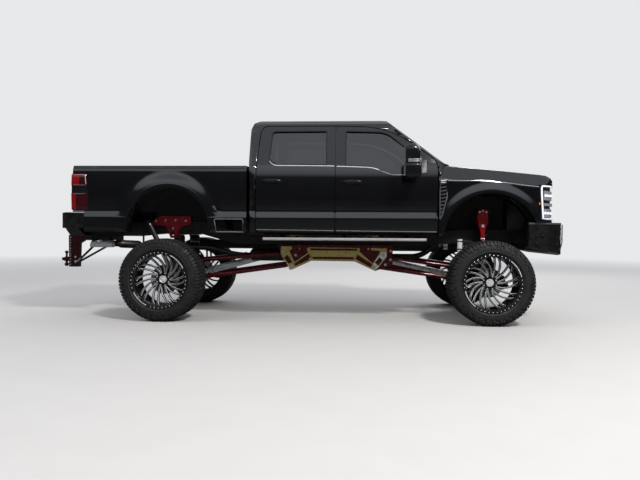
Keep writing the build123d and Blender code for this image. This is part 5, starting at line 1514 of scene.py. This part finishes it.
def make_links():
    """Smooth links with threaded ends, jam nuts, rubber bushes and pins."""
    bars, ends, pins = Shape(), Shape(), Shape()
    for axle_end, frame_end in LINK_ENDS:
        a, b = (Vector((x, -LINK_Y, z)) for x, z in (axle_end, frame_end))
        along = (b - a).normalized()
        bars.tube([a + along * 66, a + along * 80, b - along * 80, b - along * 66], [21, 26, 26, 21], 20)
        for end, way in ((a, along), (b, -along)):
            ends.tube([end + way * 26, end + way * 70], 16, 12)
            ends.lathe(end + way * 50, way, [(24, 0), (24, 14), (15, 14)], 6)
            side = end + Vector((0, 34, 0))
            ends.lathe(side, RIGHT, [(26, 0), (39, 0), (39, 68), (26, 68)], 28, 0, closed=True)
            ends.lathe(side, RIGHT, [(9, -7), (27, -4), (27, 72), (9, 75)], 20, 1, closed=True)
            pins.tube([end + Vector((0, 42, 0)), end + Vector((0, -42, 0))], 9, 12)
    bars.mirror().make("links", "red_coat", ["red_coat"], angle=40)
    made = ends.mirror().make("link_ends", "frame_black", ["frame_black", "trim_black"], bevel=1)
    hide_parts("suspension_links")
    pins.mirror().make("link_pins", "machined_steel", ["machined_steel"])


# How far the rear rails' and the front towers' faces lie from the truck's middle
RAIL_FACE, FRONT_TOWER_FACE = 485, 501
# Bolts as (x, height, distance from the truck's middle, size of the head, its height)
MOUNT_BOLTS = [(x, z, y, size, size * 0.7) for x, z, y, size in (
    (-2589, 842, RED_FACE, 17), (-2488, 688, GOLD_FACE, 15), (-2430, 812, RED_FACE, 13),
    (-2508, 640, GOLD_FACE, 10), (-2240, 770, GOLD_FACE, 9), (-1640, 765, GOLD_FACE, 9),
    (-1244, 700, RED_FACE, 13), (-1176, 765, RED_FACE, 13), (-1176, 880, RED_FACE, 11),
    (-1470, 905, GOLD_FACE, 8), (-2380, 905, GOLD_FACE, 8))]
RAIL_BOLTS = [(x, z, RAIL_FACE, 11, 8) for x, z in (
    (-4200, 1270), (-4060, 1270), (-3920, 1262), (-4330, 1262), (-4096, 1160))]
SPRING_BOLTS = [(x, z, FRONT_TOWER_FACE, 10, 8) for x, z in (
    (-10, 1380), (50, 1380), (18, 1200), (18, 1100))]
FORK_BOLTS = [(x, z, GOLD_FACE + 3, 15, 12) for x, z in ((-1277, 826), (-1385, 662))]


def make_fork_plates():
    """Silver plates round the forks of the front mounts, each with its slanted hole."""
    silver = Shape()
    rim = dense([(-1306, 861), (-1232, 866), (-1232, 806), (-1359, 647), (-1392, 630), (-1408, 700)], 24)
    hole = dense([(-1323, 796), (-1277, 757), (-1338, 683), (-1385, 723)], 8)
    middle_x, middle_z = (sum(p[i] for p in hole) / len(hole) for i in (0, 1))

    def bearing(point):
        return math.atan2(point[1] - middle_z, point[0] - middle_x)

    inner = [min(hole, key=lambda q: abs(math.remainder(bearing(q) - bearing(p), 2 * math.pi))) for p in rim]
    rows = []
    for loop, lift in ((rim, -1), (rim, 3), (inner, 3), (inner, -8)):
        rows.append([(x, -(GOLD_FACE + lift), z) for x, z in loop])
    silver.skin(rows, caps=False)
    silver.mirror().make("fork_plates", "machined_steel", ["machined"], bevel=0.8)


def make_mount_bolts():
    """Bolts of the link mounts, of the rear rails, of the spring towers and of the forks."""
    bolts = Shape()
    for x, z, y, size, height in MOUNT_BOLTS + RAIL_BOLTS + SPRING_BOLTS + FORK_BOLTS:
        bolts.bolt((x, -y, z), RIGHT, size, height)
    bolts.mirror().make("mount_bolts", "machined_steel", ["machined_steel"], bevel=0.8)


def make_driveshafts():
    """Bright tubes with narrower yokes at their ends, and the bearing between the rear ones."""
    shaft = Shape()
    for start, end, radius in (((-1600, 250, 800), (-252, 260, 526), 36),
                               ((-1852, 0, 980), (-2650, 0, 844), 44),
                               ((-2750, 0, 824), (REAR_AXLE_X + 272, 0, 546), 47)):
        a, b = Vector(start), Vector(end)
        long = (b - a).length
        half = [(0.62, 0), (0.94, 26), (0.62, 40), (0.62, 64), (0.86, 82), (1, 100)]
        profile = [(radius * r, h) for r, h in half] + [(radius * r, long - h) for r, h in reversed(half)]
        shaft.lathe(a, b - a, profile, 32)
    shaft.lathe((-2756, 0, 836), AHEAD, [(30, 0), (56, 4), (58, 20), (58, 92), (56, 108), (30, 112)], 28, 1)
    made = shaft.make("shaft_tubes", "driveline", ["driveline", "cast_metal"], angle=35)
    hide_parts("driveshafts")


# Points in one turn of a spring's wire
COIL_STEPS = 16


def coil(centre, radius, low, high, turns, wire):
    """The line of a spring's wire between two heights."""
    x, y = centre
    count = int(turns * COIL_STEPS)
    made = []
    for i in range(count + 1):
        a = 2 * math.pi * turns * i / count
        made.append((x + radius * math.cos(a), y + radius * math.sin(a),
                     low + wire + (high - low - 2 * wire) * i / count))
    return made


def make_shocks():
    """Front coil-overs with their oil tubes, and the leaning rear shocks."""
    body, coils = Shape(), Shape()
    black, rubber, white = 2, 3, 4
    x, y = 15, -SHOCK_Y
    inner, outer = -517.3, -SHOCK_Y - 20
    foot, seat_low, seat_high, top = 602, 700, 1376, 1399
    body.tube([(x, y, foot), (x, y, 1000)], 28, 20)
    body.tube([(x, y, 1000), (x, y, top)], 13, 14, 1)
    for z, profile, sides, mark in (
        (seat_low, [(28, 0), (45, 4), (45, 16), (28, 20)], 24, black),
        (seat_high, [(14, 0), (45, 2), (45, 20), (14, 22)], 24, black),
        (1180, [(13, 0), (26, 4), (26, 150), (13, 196)], 18, rubber),
    ):
        body.lathe((x, y, z), UP, profile, sides, mark)
    body.tube([(x, inner, foot), (x, outer, foot)], 33, 20, black)
    tank_x = -287
    body.tube([(tank_x, y, 876), (tank_x, y, 1042)], 33, 24, white)
    for z in (905, 1005):
        body.lathe((tank_x, y, z), UP, [(33, 0), (36, 1), (36, 13), (33, 14)], 24, black)
    body.tube([(-260, y, 1020), (-150, y - 4, 1010), (-20, y, 960)], 8, 10, rubber)
    body.box(-262, -8, y - 12, y + 12, 962, 998, black)
    low, high = Vector((REAR_AXLE_X - 30, y, 590)), Vector((REAR_AXLE_X - 340, y, 1245))
    body.tube([low, low.lerp(high, 0.56)], 33, 24, 1)
    body.tube([low.lerp(high, 0.56), high], 12, 14, 1)
    body.tube([low.lerp(high, 0.50), low.lerp(high, 0.93)], 34, 24, rubber)
    body.tube([(low.x, inner, low.z), (low.x, outer, low.z)], 29, 20, black)
    body.tube([(high.x, -485.5, high.z), (high.x, outer, high.z)], 29, 20, black)
    body.mirror().make("shock_bodies", "machined_steel",
                       ["driveline", "driveline", "frame_black", "trim_black", "white_coat"], bevel=1,
                       angle=35)
    coils.tube(coil((x, y), 39, seat_low + 20, seat_high, 8.5, 6.5), 6.5, 8)
    made = coils.mirror().make("coils", "machined_steel", ["frame_black"])
    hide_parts("shocks")


# Outline of a spring tower's outer plate, as (x, height)
TOWER_FACE = [(-42, 1424), (-68, 1400), (-78, 1330), (-70, 1250), (-47, 1180), (-35, 1130), (-35, 1030),
              (15, 1030), (15, 1130), (27, 1180), (50, 1250), (59, 1330), (50, 1400), (25, 1424)]


def make_tower_faces():
    """Outer plates of the front spring towers, hung from their caps, with bolts and a turned boss."""
    red, bright = Shape(), Shape()
    middle_x, boss_z = -10, 1215
    red.plate([(x, -TOWER_Y, z) for x, z in rounded(TOWER_FACE, 18, 3)], (0, 10, 0))
    red.lathe((middle_x, -TOWER_Y, boss_z), RIGHT, [(30, 0), (30, 5), (20, 5), (20, 2), (0, 2)], 28)
    red.mirror().make("tower_faces", "red_coat", ["red_bright"], bevel=2)
    bright.lathe((middle_x, -TOWER_Y - 2, boss_z), RIGHT, [(19, 0), (19, 5), (13, 6), (12, 2), (0, 2)], 24)
    for dx, z in ((-40, 1395), (0, 1408), (42, 1395), (-14, 1048), (14, 1048)):
        bright.bolt((middle_x + dx, -TOWER_Y, z), RIGHT, 8, 7)
    bright.mirror().make("tower_bolts", "machined_steel", ["machined"], bevel=1)


def make_air_springs():
    """Rear air bags: three round bellies between clamped rings and end plates."""
    bag = Shape()
    low, high = 768, 1072
    belly = (high - low) / 3
    profile = [(56, 0), (62, 3)]
    for i in range(3):
        for a in range(-70, 71, 14):
            turn = math.radians(a)
            profile.append((61 + 14 * math.cos(turn), (i + 0.5) * belly + belly * 0.47 * math.sin(turn)))
    profile += [(62, high - low - 3), (56, high - low)]
    x, y = REAR_AXLE_X + 25, -388
    bag.lathe((x, y, low), UP, profile, 40)
    for i in (1, 2):
        bag.lathe((x, y, low + i * belly - 5), UP, [(62, 0), (68, 1), (68, 9), (62, 10)], 40, 1, closed=True)
    for z in (low, high - 6):
        bag.lathe((x, y, z), UP, [(0, 0), (64, 0), (64, 6), (0, 6)], 40, 1)
    made = bag.mirror().make("air_bags", "air_bag", ["trim_black", "machined_steel"], angle=40)
    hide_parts("air_springs")


def round_path(path, reach, steps=6):
    """A path whose inner corners are drawn round, each over the reach on both sides."""
    points = [Vector(p) for p in path]
    made = [points[0]]
    for before, corner, after in zip(points, points[1:], points[2:]):
        a = corner + (before - corner).normalized() * min(reach, (before - corner).length * 0.45)
        b = corner + (after - corner).normalized() * min(reach, (after - corner).length * 0.45)
        made += [a.lerp(corner, i / steps).lerp(corner.lerp(b, i / steps), i / steps)
                 for i in range(steps + 1)]
    return [*made, points[-1]]


# Sides of the exhaust's polished tip
TIP_SIDES = 72


def make_exhaust_pipe():
    """Exhaust pipe with its two mufflers, clamps and hangers."""
    pipe = Shape()
    path = [(-520, -345, 1010), (-760, -280, 800), (-3250, -280, 800), (-3650, -262, 900),
            (-4300, -262, 900), (-4620, -330, 930), (-4870, -573, 948), (-4900, -600, 950)]
    pipe.tube(round_path(path, 130), 36, 24)
    muffler = [(38, -30), (80, 0), (84, 8), (84, 792), (80, 800), (38, 830)]
    pipe.lathe((-2250, -284, 809), BACK, muffler, 40)
    for x in (-2180, -3120):
        pipe.lathe((x, -280, 800), BACK, [(37, 0), (42, 2), (42, 38), (37, 40)], 24)
    rear_muffler = [(38, -30), (52, 0), (54, 6), (54, 250), (50, 262), (38, 290)]
    pipe.lathe((-4620, -335, 934), (-1, -0.97, 0.07), rear_muffler, 32)
    pipe.box(-2670, -2650, -410, -350, 840, 955)
    pipe.box(-4570, -4550, -327, -307, 950, 1110)
    made = pipe.make("exhaust_pipe", "exhaust_metal", ["pipe_dark"], angle=35)
    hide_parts("exhaust")


def make_exhaust_tip():
    """Polished tip of the exhaust, cut at a slant, with the clamp before it."""
    tip = Shape()
    tip_start, tip_length, tip_z, slant = -4868, 307, 950, 0.29
    turns = [2 * math.pi * i / TIP_SIDES for i in range(TIP_SIDES)]
    rows = []
    for radius, share in ((49.5, 0), (49.5, 1), (43, 1), (42, 0.05)):
        ring = [(radius * math.cos(a) - 600, radius * math.sin(a)) for a in turns]
        rows.append([(tip_start - share * (tip_length - (up + 48) * slant), y, tip_z + up)
                     for y, up in ring])
    tip.skin(rows, caps=False)
    tip.lathe((-4850, -590, 949), (-1, -0.25, 0), [(37, 0), (44, 3), (44, 24), (37, 27)], 28)
    tip.make("exhaust_tip", "exhaust_metal", ["chrome"], angle=35)


def make_axle_details():
    """Covers of both differentials with their bolts, and the brake discs."""
    bolts, covers = Shape(), Shape()
    count = 10
    for x, y, way, reach, radius in ((0, 260, 1, 186, 128), (REAR_AXLE_X, 0, -1, 210, 139)):
        circle = radius * 0.86
        for i in range(count):
            a = 2 * math.pi * i / count
            bolts.bolt((x + way * (reach - 20), y + circle * math.cos(a), AXLE_Z + circle * math.sin(a)),
                       (way, 0, 0), 9, 7)
        cover = [(radius + 6, 0), (radius + 6, 8), (radius - 24, 12), (radius - 60, 28), (0, 30)]
        covers.lathe((x + way * (reach - 26), y, AXLE_Z), (way, 0, 0), cover, 40)
    bolts.make("cover_bolts", "machined_steel", ["machined_steel"], bevel=0.8)
    covers.make("axle_covers", "cast_metal", ["cast_metal"], bevel=2, angle=30)
    profile = [(98, 0), (181, 0), (181, 11), (176, 12), (176, 17), (181, 18), (181, 30), (98, 30)]
    for side_name, side in SIDES.items():
        for place, x, body in (("front", 0, f"knuckle_{side_name}"), ("rear", REAR_AXLE_X, "chassis")):
            disc = Shape().lathe((x, -904, AXLE_Z), RIGHT, profile, 64, closed=True)
            one_side(disc, side).make(f"brake_disc_{place}_{side_name}", "machined_steel",
                                      ["machined_steel"], body=body, bevel=1)


# Interior

def cushion(shape, stations, y, lean, sides=24):
    """A crowned pad through (x, z, half width, half thickness) stations, its thickness along the lean."""
    rows = []
    for x, z, wide, thick in stations:
        ring = []
        for i in range(sides):
            a = 2 * math.pi * i / sides
            across, out = (math.copysign(abs(v) ** 0.62, v) for v in (math.cos(a), math.sin(a)))
            ring.append((x + lean[0] * out * thick, y + across * wide, z + lean[1] * out * thick))
        rows.append(ring)
    return shape.skin(rows)


def seat(shape, x, y, wide, top):
    """Cushion, leaning back and headrest of one seat, from its front edge."""
    base = [(0, 1392, 0.75, 18), (12, 1392, 0.93, 46), (110, 1397, 1, 60), (290, 1388, 1, 58),
            (440, 1380, 0.96, 54), (480, 1378, 0.8, 24)]
    back = [(545, 1400, 0.8, 30), (552, 1440, 0.96, 62), (575, 1620, 1, 68), (603, 1850, 0.96, 60),
            (622, top - 40, 0.85, 50), (628, top, 0.6, 20)]
    head = [(632, 24, 90, 22), (633, 45, 118, 40), (635, 120, 118, 42), (636, 148, 92, 22)]
    for stations, lean in ((base, (0, 1)), (back, (1, 0.1))):
        cushion(shape, [(x - deep, z, wide * share, thick) for deep, z, share, thick in stations], y, lean)
    cushion(shape, [(x - deep, top + up, half, thick) for deep, up, half, thick in head], y, (1, 0.1))


def make_seats():
    """Two front seats and three rear places, and the bases under them."""
    front, rear, bases = (Shape() for _ in range(3))
    base_foot, base_top = 1175, 1332
    for y in (-410, 410):
        seat(front, -1180, y, 268, 2060)
        bases.box(-1700, -1260, y - 210, y + 210, base_foot, base_top)
        for side in (-60, 60):
            bases.tube([(-1808, y + side, 2050), (-1813, y + side, 2110)], 7, 8, 1)
    for y in (-520, 0, 520):
        seat(rear, -2180, y, 256, 2040)
    bases.box(-2740, -2260, -700, 700, base_foot, base_top)
    cloth = [front.make("front_seat_pads", "seat_cloth", ["seat_cloth"], angle=60, subdivide=1),
             rear.make("rear_seat_pads", "seat_cloth", ["seat_cloth"], angle=60, subdivide=1)]
    for piece, node in zip(cloth, ("front_seats", "rear_bench")):
        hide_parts(node)
    bases.make("seat_bases", "trim_black", ["trim_black", "machined_steel"], bevel=4)


def make_steering_wheel():
    """Rim, hub and three spokes of the steering wheel, on its column."""
    wheel = Shape()
    centre, axis = Vector((-1130, 370, 1700)), Vector((-0.86, 0, 0.51)).normalized()
    rim = [(176 + 15 * math.cos(a), 12 + 13 * math.sin(a)) for a in map(math.radians, range(0, 360, 36))]
    wheel.lathe(centre, axis, rim, 48, closed=True)
    wheel.lathe(centre, axis, [(62, 0), (66, 8), (60, 22), (30, 27), (0, 27)], 32)
    up = axis.cross(Vector(LEFT))
    for turn in (0, 180, 270):
        a = math.radians(turn)
        way = Vector(LEFT) * math.cos(a) + up * math.sin(a) * (-1 if up.z > 0 else 1)
        wheel.tube([centre + axis * 8 + way * 50, centre + axis * 12 + way * 172], [20, 13], 10)
    wheel.tube([centre, centre - axis * 235], 26, 16)
    made = wheel.make("wheel_and_column", "trim_black", ["trim_black"], angle=50)
    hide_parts("steering_wheel")


def make_screens():
    """Two screens on the dashboard, each a dark case with a glossy pane."""
    screens = Shape()
    screens.box(-954, -900, -150, 120, 1700, 1870)
    screens.box(-957, -953, -138, 108, 1712, 1858, 1)
    screens.box(-950, -900, 220, 520, 1810, 1895)
    screens.box(-953, -949, 235, 505, 1822, 1883, 1)
    screens.make("dash_screens", "trim_black", ["trim_black", "gloss_trim"], bevel=4)


# The windshield is part of a leaning barrel: its axis and radius at a height, and its lean for a rise
GLASS_AXIS, GLASS_RADIUS, GLASS_Z = -3037, 2622, 2000
GLASS_LEAN, GLASS_RISE = 605, 446


def glass_x(y, z):
    """Where the windshield's outer face lies."""
    return GLASS_AXIS + math.sqrt(GLASS_RADIUS**2 - y * y) - (z - GLASS_Z) * GLASS_LEAN / GLASS_RISE


def make_pillar_highlights_and_wipers():
    """Grey strips along the windshield's side edges, painted highlights of its pillars, and the wipers."""
    trim, wipers = Shape(), Shape()
    # Painted highlight: a grey strip along each windshield pillar, where its edge catches the light
    edge = [(glass_x(cab_y(0, z), z) - 16, z) for z in range(2010, 2451, 40)]
    strip_on_side(trim, edge, cab_y, 9, 2.5)
    trim.mirror().make("pillar_painted_highlights", "machined_steel", ["grey_trim_and_highlight"], bevel=1, angle=50)
    for start, end in ((-640, 60), (20, 650)):
        arm = [(start, 1985, 16), (start + 80, 2010, 22), ((start + end) / 2, 2052, 16)]
        wipers.tube([(glass_x(y, z) + lift, y, z) for y, z, lift in arm], [12, 9, 6], 10)
        blade = [start + 30 + (end - start - 30) * i / 12 for i in range(13)]
        blade = [(y, 2036 + (y - start) * 0.03) for y in blade]
        wipers.tube([(glass_x(y, z) + 9, y, z) for y, z in blade], 6, 8)
    wipers.make("wipers", "trim_black", ["trim_black"], angle=50)


make_tail_lamps()
make_bed_caps()
make_bed_ribs()
make_tie_downs()
make_tailgate()
make_rear_bumper()
make_drop_plate()
make_receiver()
make_hitch_bolts()
make_steps()
make_foot_highlights_and_hold()
make_links()
make_fork_plates()
make_mount_bolts()
make_driveshafts()
make_shocks()
make_tower_faces()
make_air_springs()
make_exhaust_pipe()
make_exhaust_tip()
make_axle_details()
make_seats()
make_steering_wheel()
make_screens()
make_pillar_highlights_and_wipers()


# Stage, light and camera

def pale_where_seen(nodes, links, colour, other):
    """A colour for camera and transmitted rays, and another socket for the rest."""
    path = nodes.new("ShaderNodeLightPath")
    seen = nodes.new("ShaderNodeMath")
    seen.operation = "MAXIMUM"
    links.new(path.outputs["Is Camera Ray"], seen.inputs[0])
    links.new(path.outputs["Is Transmission Ray"], seen.inputs[1])
    mix = nodes.new("ShaderNodeMix")
    mix.data_type = "RGBA"
    links.new(seen.outputs[0], mix.inputs["Factor"])
    links.new(other, mix.inputs[6])
    mix.inputs[7].default_value = (*colour, 1)
    return mix.outputs[2]


BACKDROP = (0.80, 0.81, 0.82)
FLOOR_MIRRORED, FAR_MIRRORED = (0.07, 0.07, 0.07), (0.05, 0.05, 0.05)
FADE_START, FADE_END = 7, 22
# The sky that bright faces mirror, from straight down to straight up, as (share of the way, level)
SKY = ((0.0, 0.03), (0.2, 0.045), (0.345, 0.07), (0.395, 0.62), (0.45, 0.8), (0.53, 0.95), (0.64, 0.6),
       (1.0, 0.6))
SKY_TINT = (0.94, 0.98, 1.08)


def make_floor():
    """A pale floor that fades into the backdrop far away and stays dark in mirror-like faces."""
    floor = bpy.data.objects.new("floor", bpy.data.meshes.new("floor"))
    size = 120
    floor.data.from_pydata([(-size, -size, 0), (size, -size, 0), (size, size, 0), (-size, size, 0)], [],
                           [(0, 1, 2, 3)])
    bpy.context.scene.collection.objects.link(floor)
    floor_made, nodes, links, shader = new_material("floor")
    grain = noise_of(nodes, links, 3, 8)
    pale = mixed(nodes, links, grain, (0.575, 0.56, 0.54), (0.615, 0.60, 0.58))
    path = nodes.new("ShaderNodeLightPath")
    shade = mixed(nodes, links, path.outputs["Is Glossy Ray"], pale, FLOOR_MIRRORED)
    links.new(shade, shader.inputs["Base Color"])
    shader.inputs["Roughness"].default_value = 0.85
    where = nodes.new("ShaderNodeTexCoord")
    far = nodes.new("ShaderNodeVectorMath")
    far.operation = "LENGTH"
    links.new(where.outputs["Object"], far.inputs[0])
    glow = nodes.new("ShaderNodeEmission")
    seen_only = mixed(nodes, links, path.outputs["Is Glossy Ray"], BACKDROP, FAR_MIRRORED)
    links.new(seen_only, glow.inputs["Color"])
    blend = nodes.new("ShaderNodeMixShader")
    links.new(spread(nodes, links, far.outputs["Value"], 0, 1, FADE_START, FADE_END), blend.inputs["Fac"])
    links.new(shader.outputs["BSDF"], blend.inputs[1])
    links.new(glow.outputs["Emission"], blend.inputs[2])
    links.new(blend.outputs["Shader"], nodes["Material Output"].inputs["Surface"])
    floor.data.materials.append(floor_made)


def make_sky():
    """A plain backdrop for the camera, and a sky in bands for what mirrors it."""
    world = bpy.data.worlds.new("studio")
    world.use_nodes = True
    bpy.context.scene.world = world
    nodes, links = world.node_tree.nodes, world.node_tree.links
    back = nodes["Background"]
    where = nodes.new("ShaderNodeTexCoord")
    split = nodes.new("ShaderNodeSeparateXYZ")
    links.new(where.outputs["Generated"], split.inputs[0])
    ramp = nodes.new("ShaderNodeValToRGB")
    while len(ramp.color_ramp.elements) < len(SKY):
        ramp.color_ramp.elements.new(0.5)
    for element, (place, level) in zip(ramp.color_ramp.elements, SKY):
        element.position = place
        element.color = (*(level * tint for tint in SKY_TINT), 1)
    links.new(split.outputs["Z"], ramp.inputs["Fac"])
    links.new(pale_where_seen(nodes, links, BACKDROP, ramp.outputs["Color"]), back.inputs["Color"])
    back.inputs["Strength"].default_value = 1.0


def area_light(name, place, target, size, power, colour=(1, 1, 1), mirrored=False):
    """A rectangular light aimed at a target, which bright faces mirror or not."""
    lamp = bpy.data.lights.new(name, "AREA")
    lamp.shape = "RECTANGLE"
    lamp.size, lamp.size_y = size
    lamp.energy = power
    lamp.color = colour
    made = bpy.data.objects.new(name, lamp)
    bpy.context.scene.collection.objects.link(made)
    made.location = place
    made.rotation_mode = "QUATERNION"
    made.rotation_quaternion = (Vector(target) - Vector(place)).to_track_quat("-Z", "Y")
    made.visible_glossy = mirrored


def make_lights():
    """Places and sizes in metres of the row frame, powers in watts."""
    middle_of_truck = (0, 0, 1.2)
    area_light("key", (4.95, -8.0, 8.5), middle_of_truck, (1.3, 1.3), 900, (1, 0.98, 0.95), mirrored=True)
    area_light("strip", (5.35, -8.0, 8.6), (5.35, 0, 1.6), (4.3, 0.45), 105, mirrored=True)
    area_light("fill", (-8.0, -5.0, 6.0), middle_of_truck, (5.0, 4.0), 250)
    area_light("back", (0.0, 9.0, 7.0), middle_of_truck, (7.0, 3.0), 220)
    area_light("sky_behind", (6.4, 8.8, 6.6), (1.7, -0.7, 2.2), (5.0, 4.0), 260, mirrored=True)


# The camera, solved from the wheels and the body lines in the photograph
CAMERA_PLACE = (0.7381, -8.1665, 1.1152)
CAMERA_YAW, CAMERA_PITCH, CAMERA_ROLL = -0.05352, -0.01281, 0.00655
FOCAL_PIXELS = 578.32
IMAGE_WIDTH = 640


def make_camera():
    """The camera at its place, turned by its yaw and pitch and then rolled."""
    data = bpy.data.cameras.new("camera")
    data.sensor_width = 36
    data.lens = FOCAL_PIXELS / IMAGE_WIDTH * data.sensor_width
    made = bpy.data.objects.new("camera", data)
    bpy.context.scene.collection.objects.link(made)
    cy, sy = math.cos(CAMERA_YAW), math.sin(CAMERA_YAW)
    cp, sp = math.cos(CAMERA_PITCH), math.sin(CAMERA_PITCH)
    ahead = Vector((sy * cp, cy * cp, sp))
    right = Vector((cy, -sy, 0))
    up = right.cross(ahead)
    cr, sr = math.cos(CAMERA_ROLL), math.sin(CAMERA_ROLL)
    right, up = right * cr + up * sr, up * cr - right * sr
    made.matrix_world = Matrix.Translation(CAMERA_PLACE) @ Matrix((right, up, -ahead)).transposed().to_4x4()
    bpy.context.scene.camera = made


make_floor()
make_sky()
make_lights()
make_camera()
bpy.context.scene.view_settings.view_transform = "Standard"
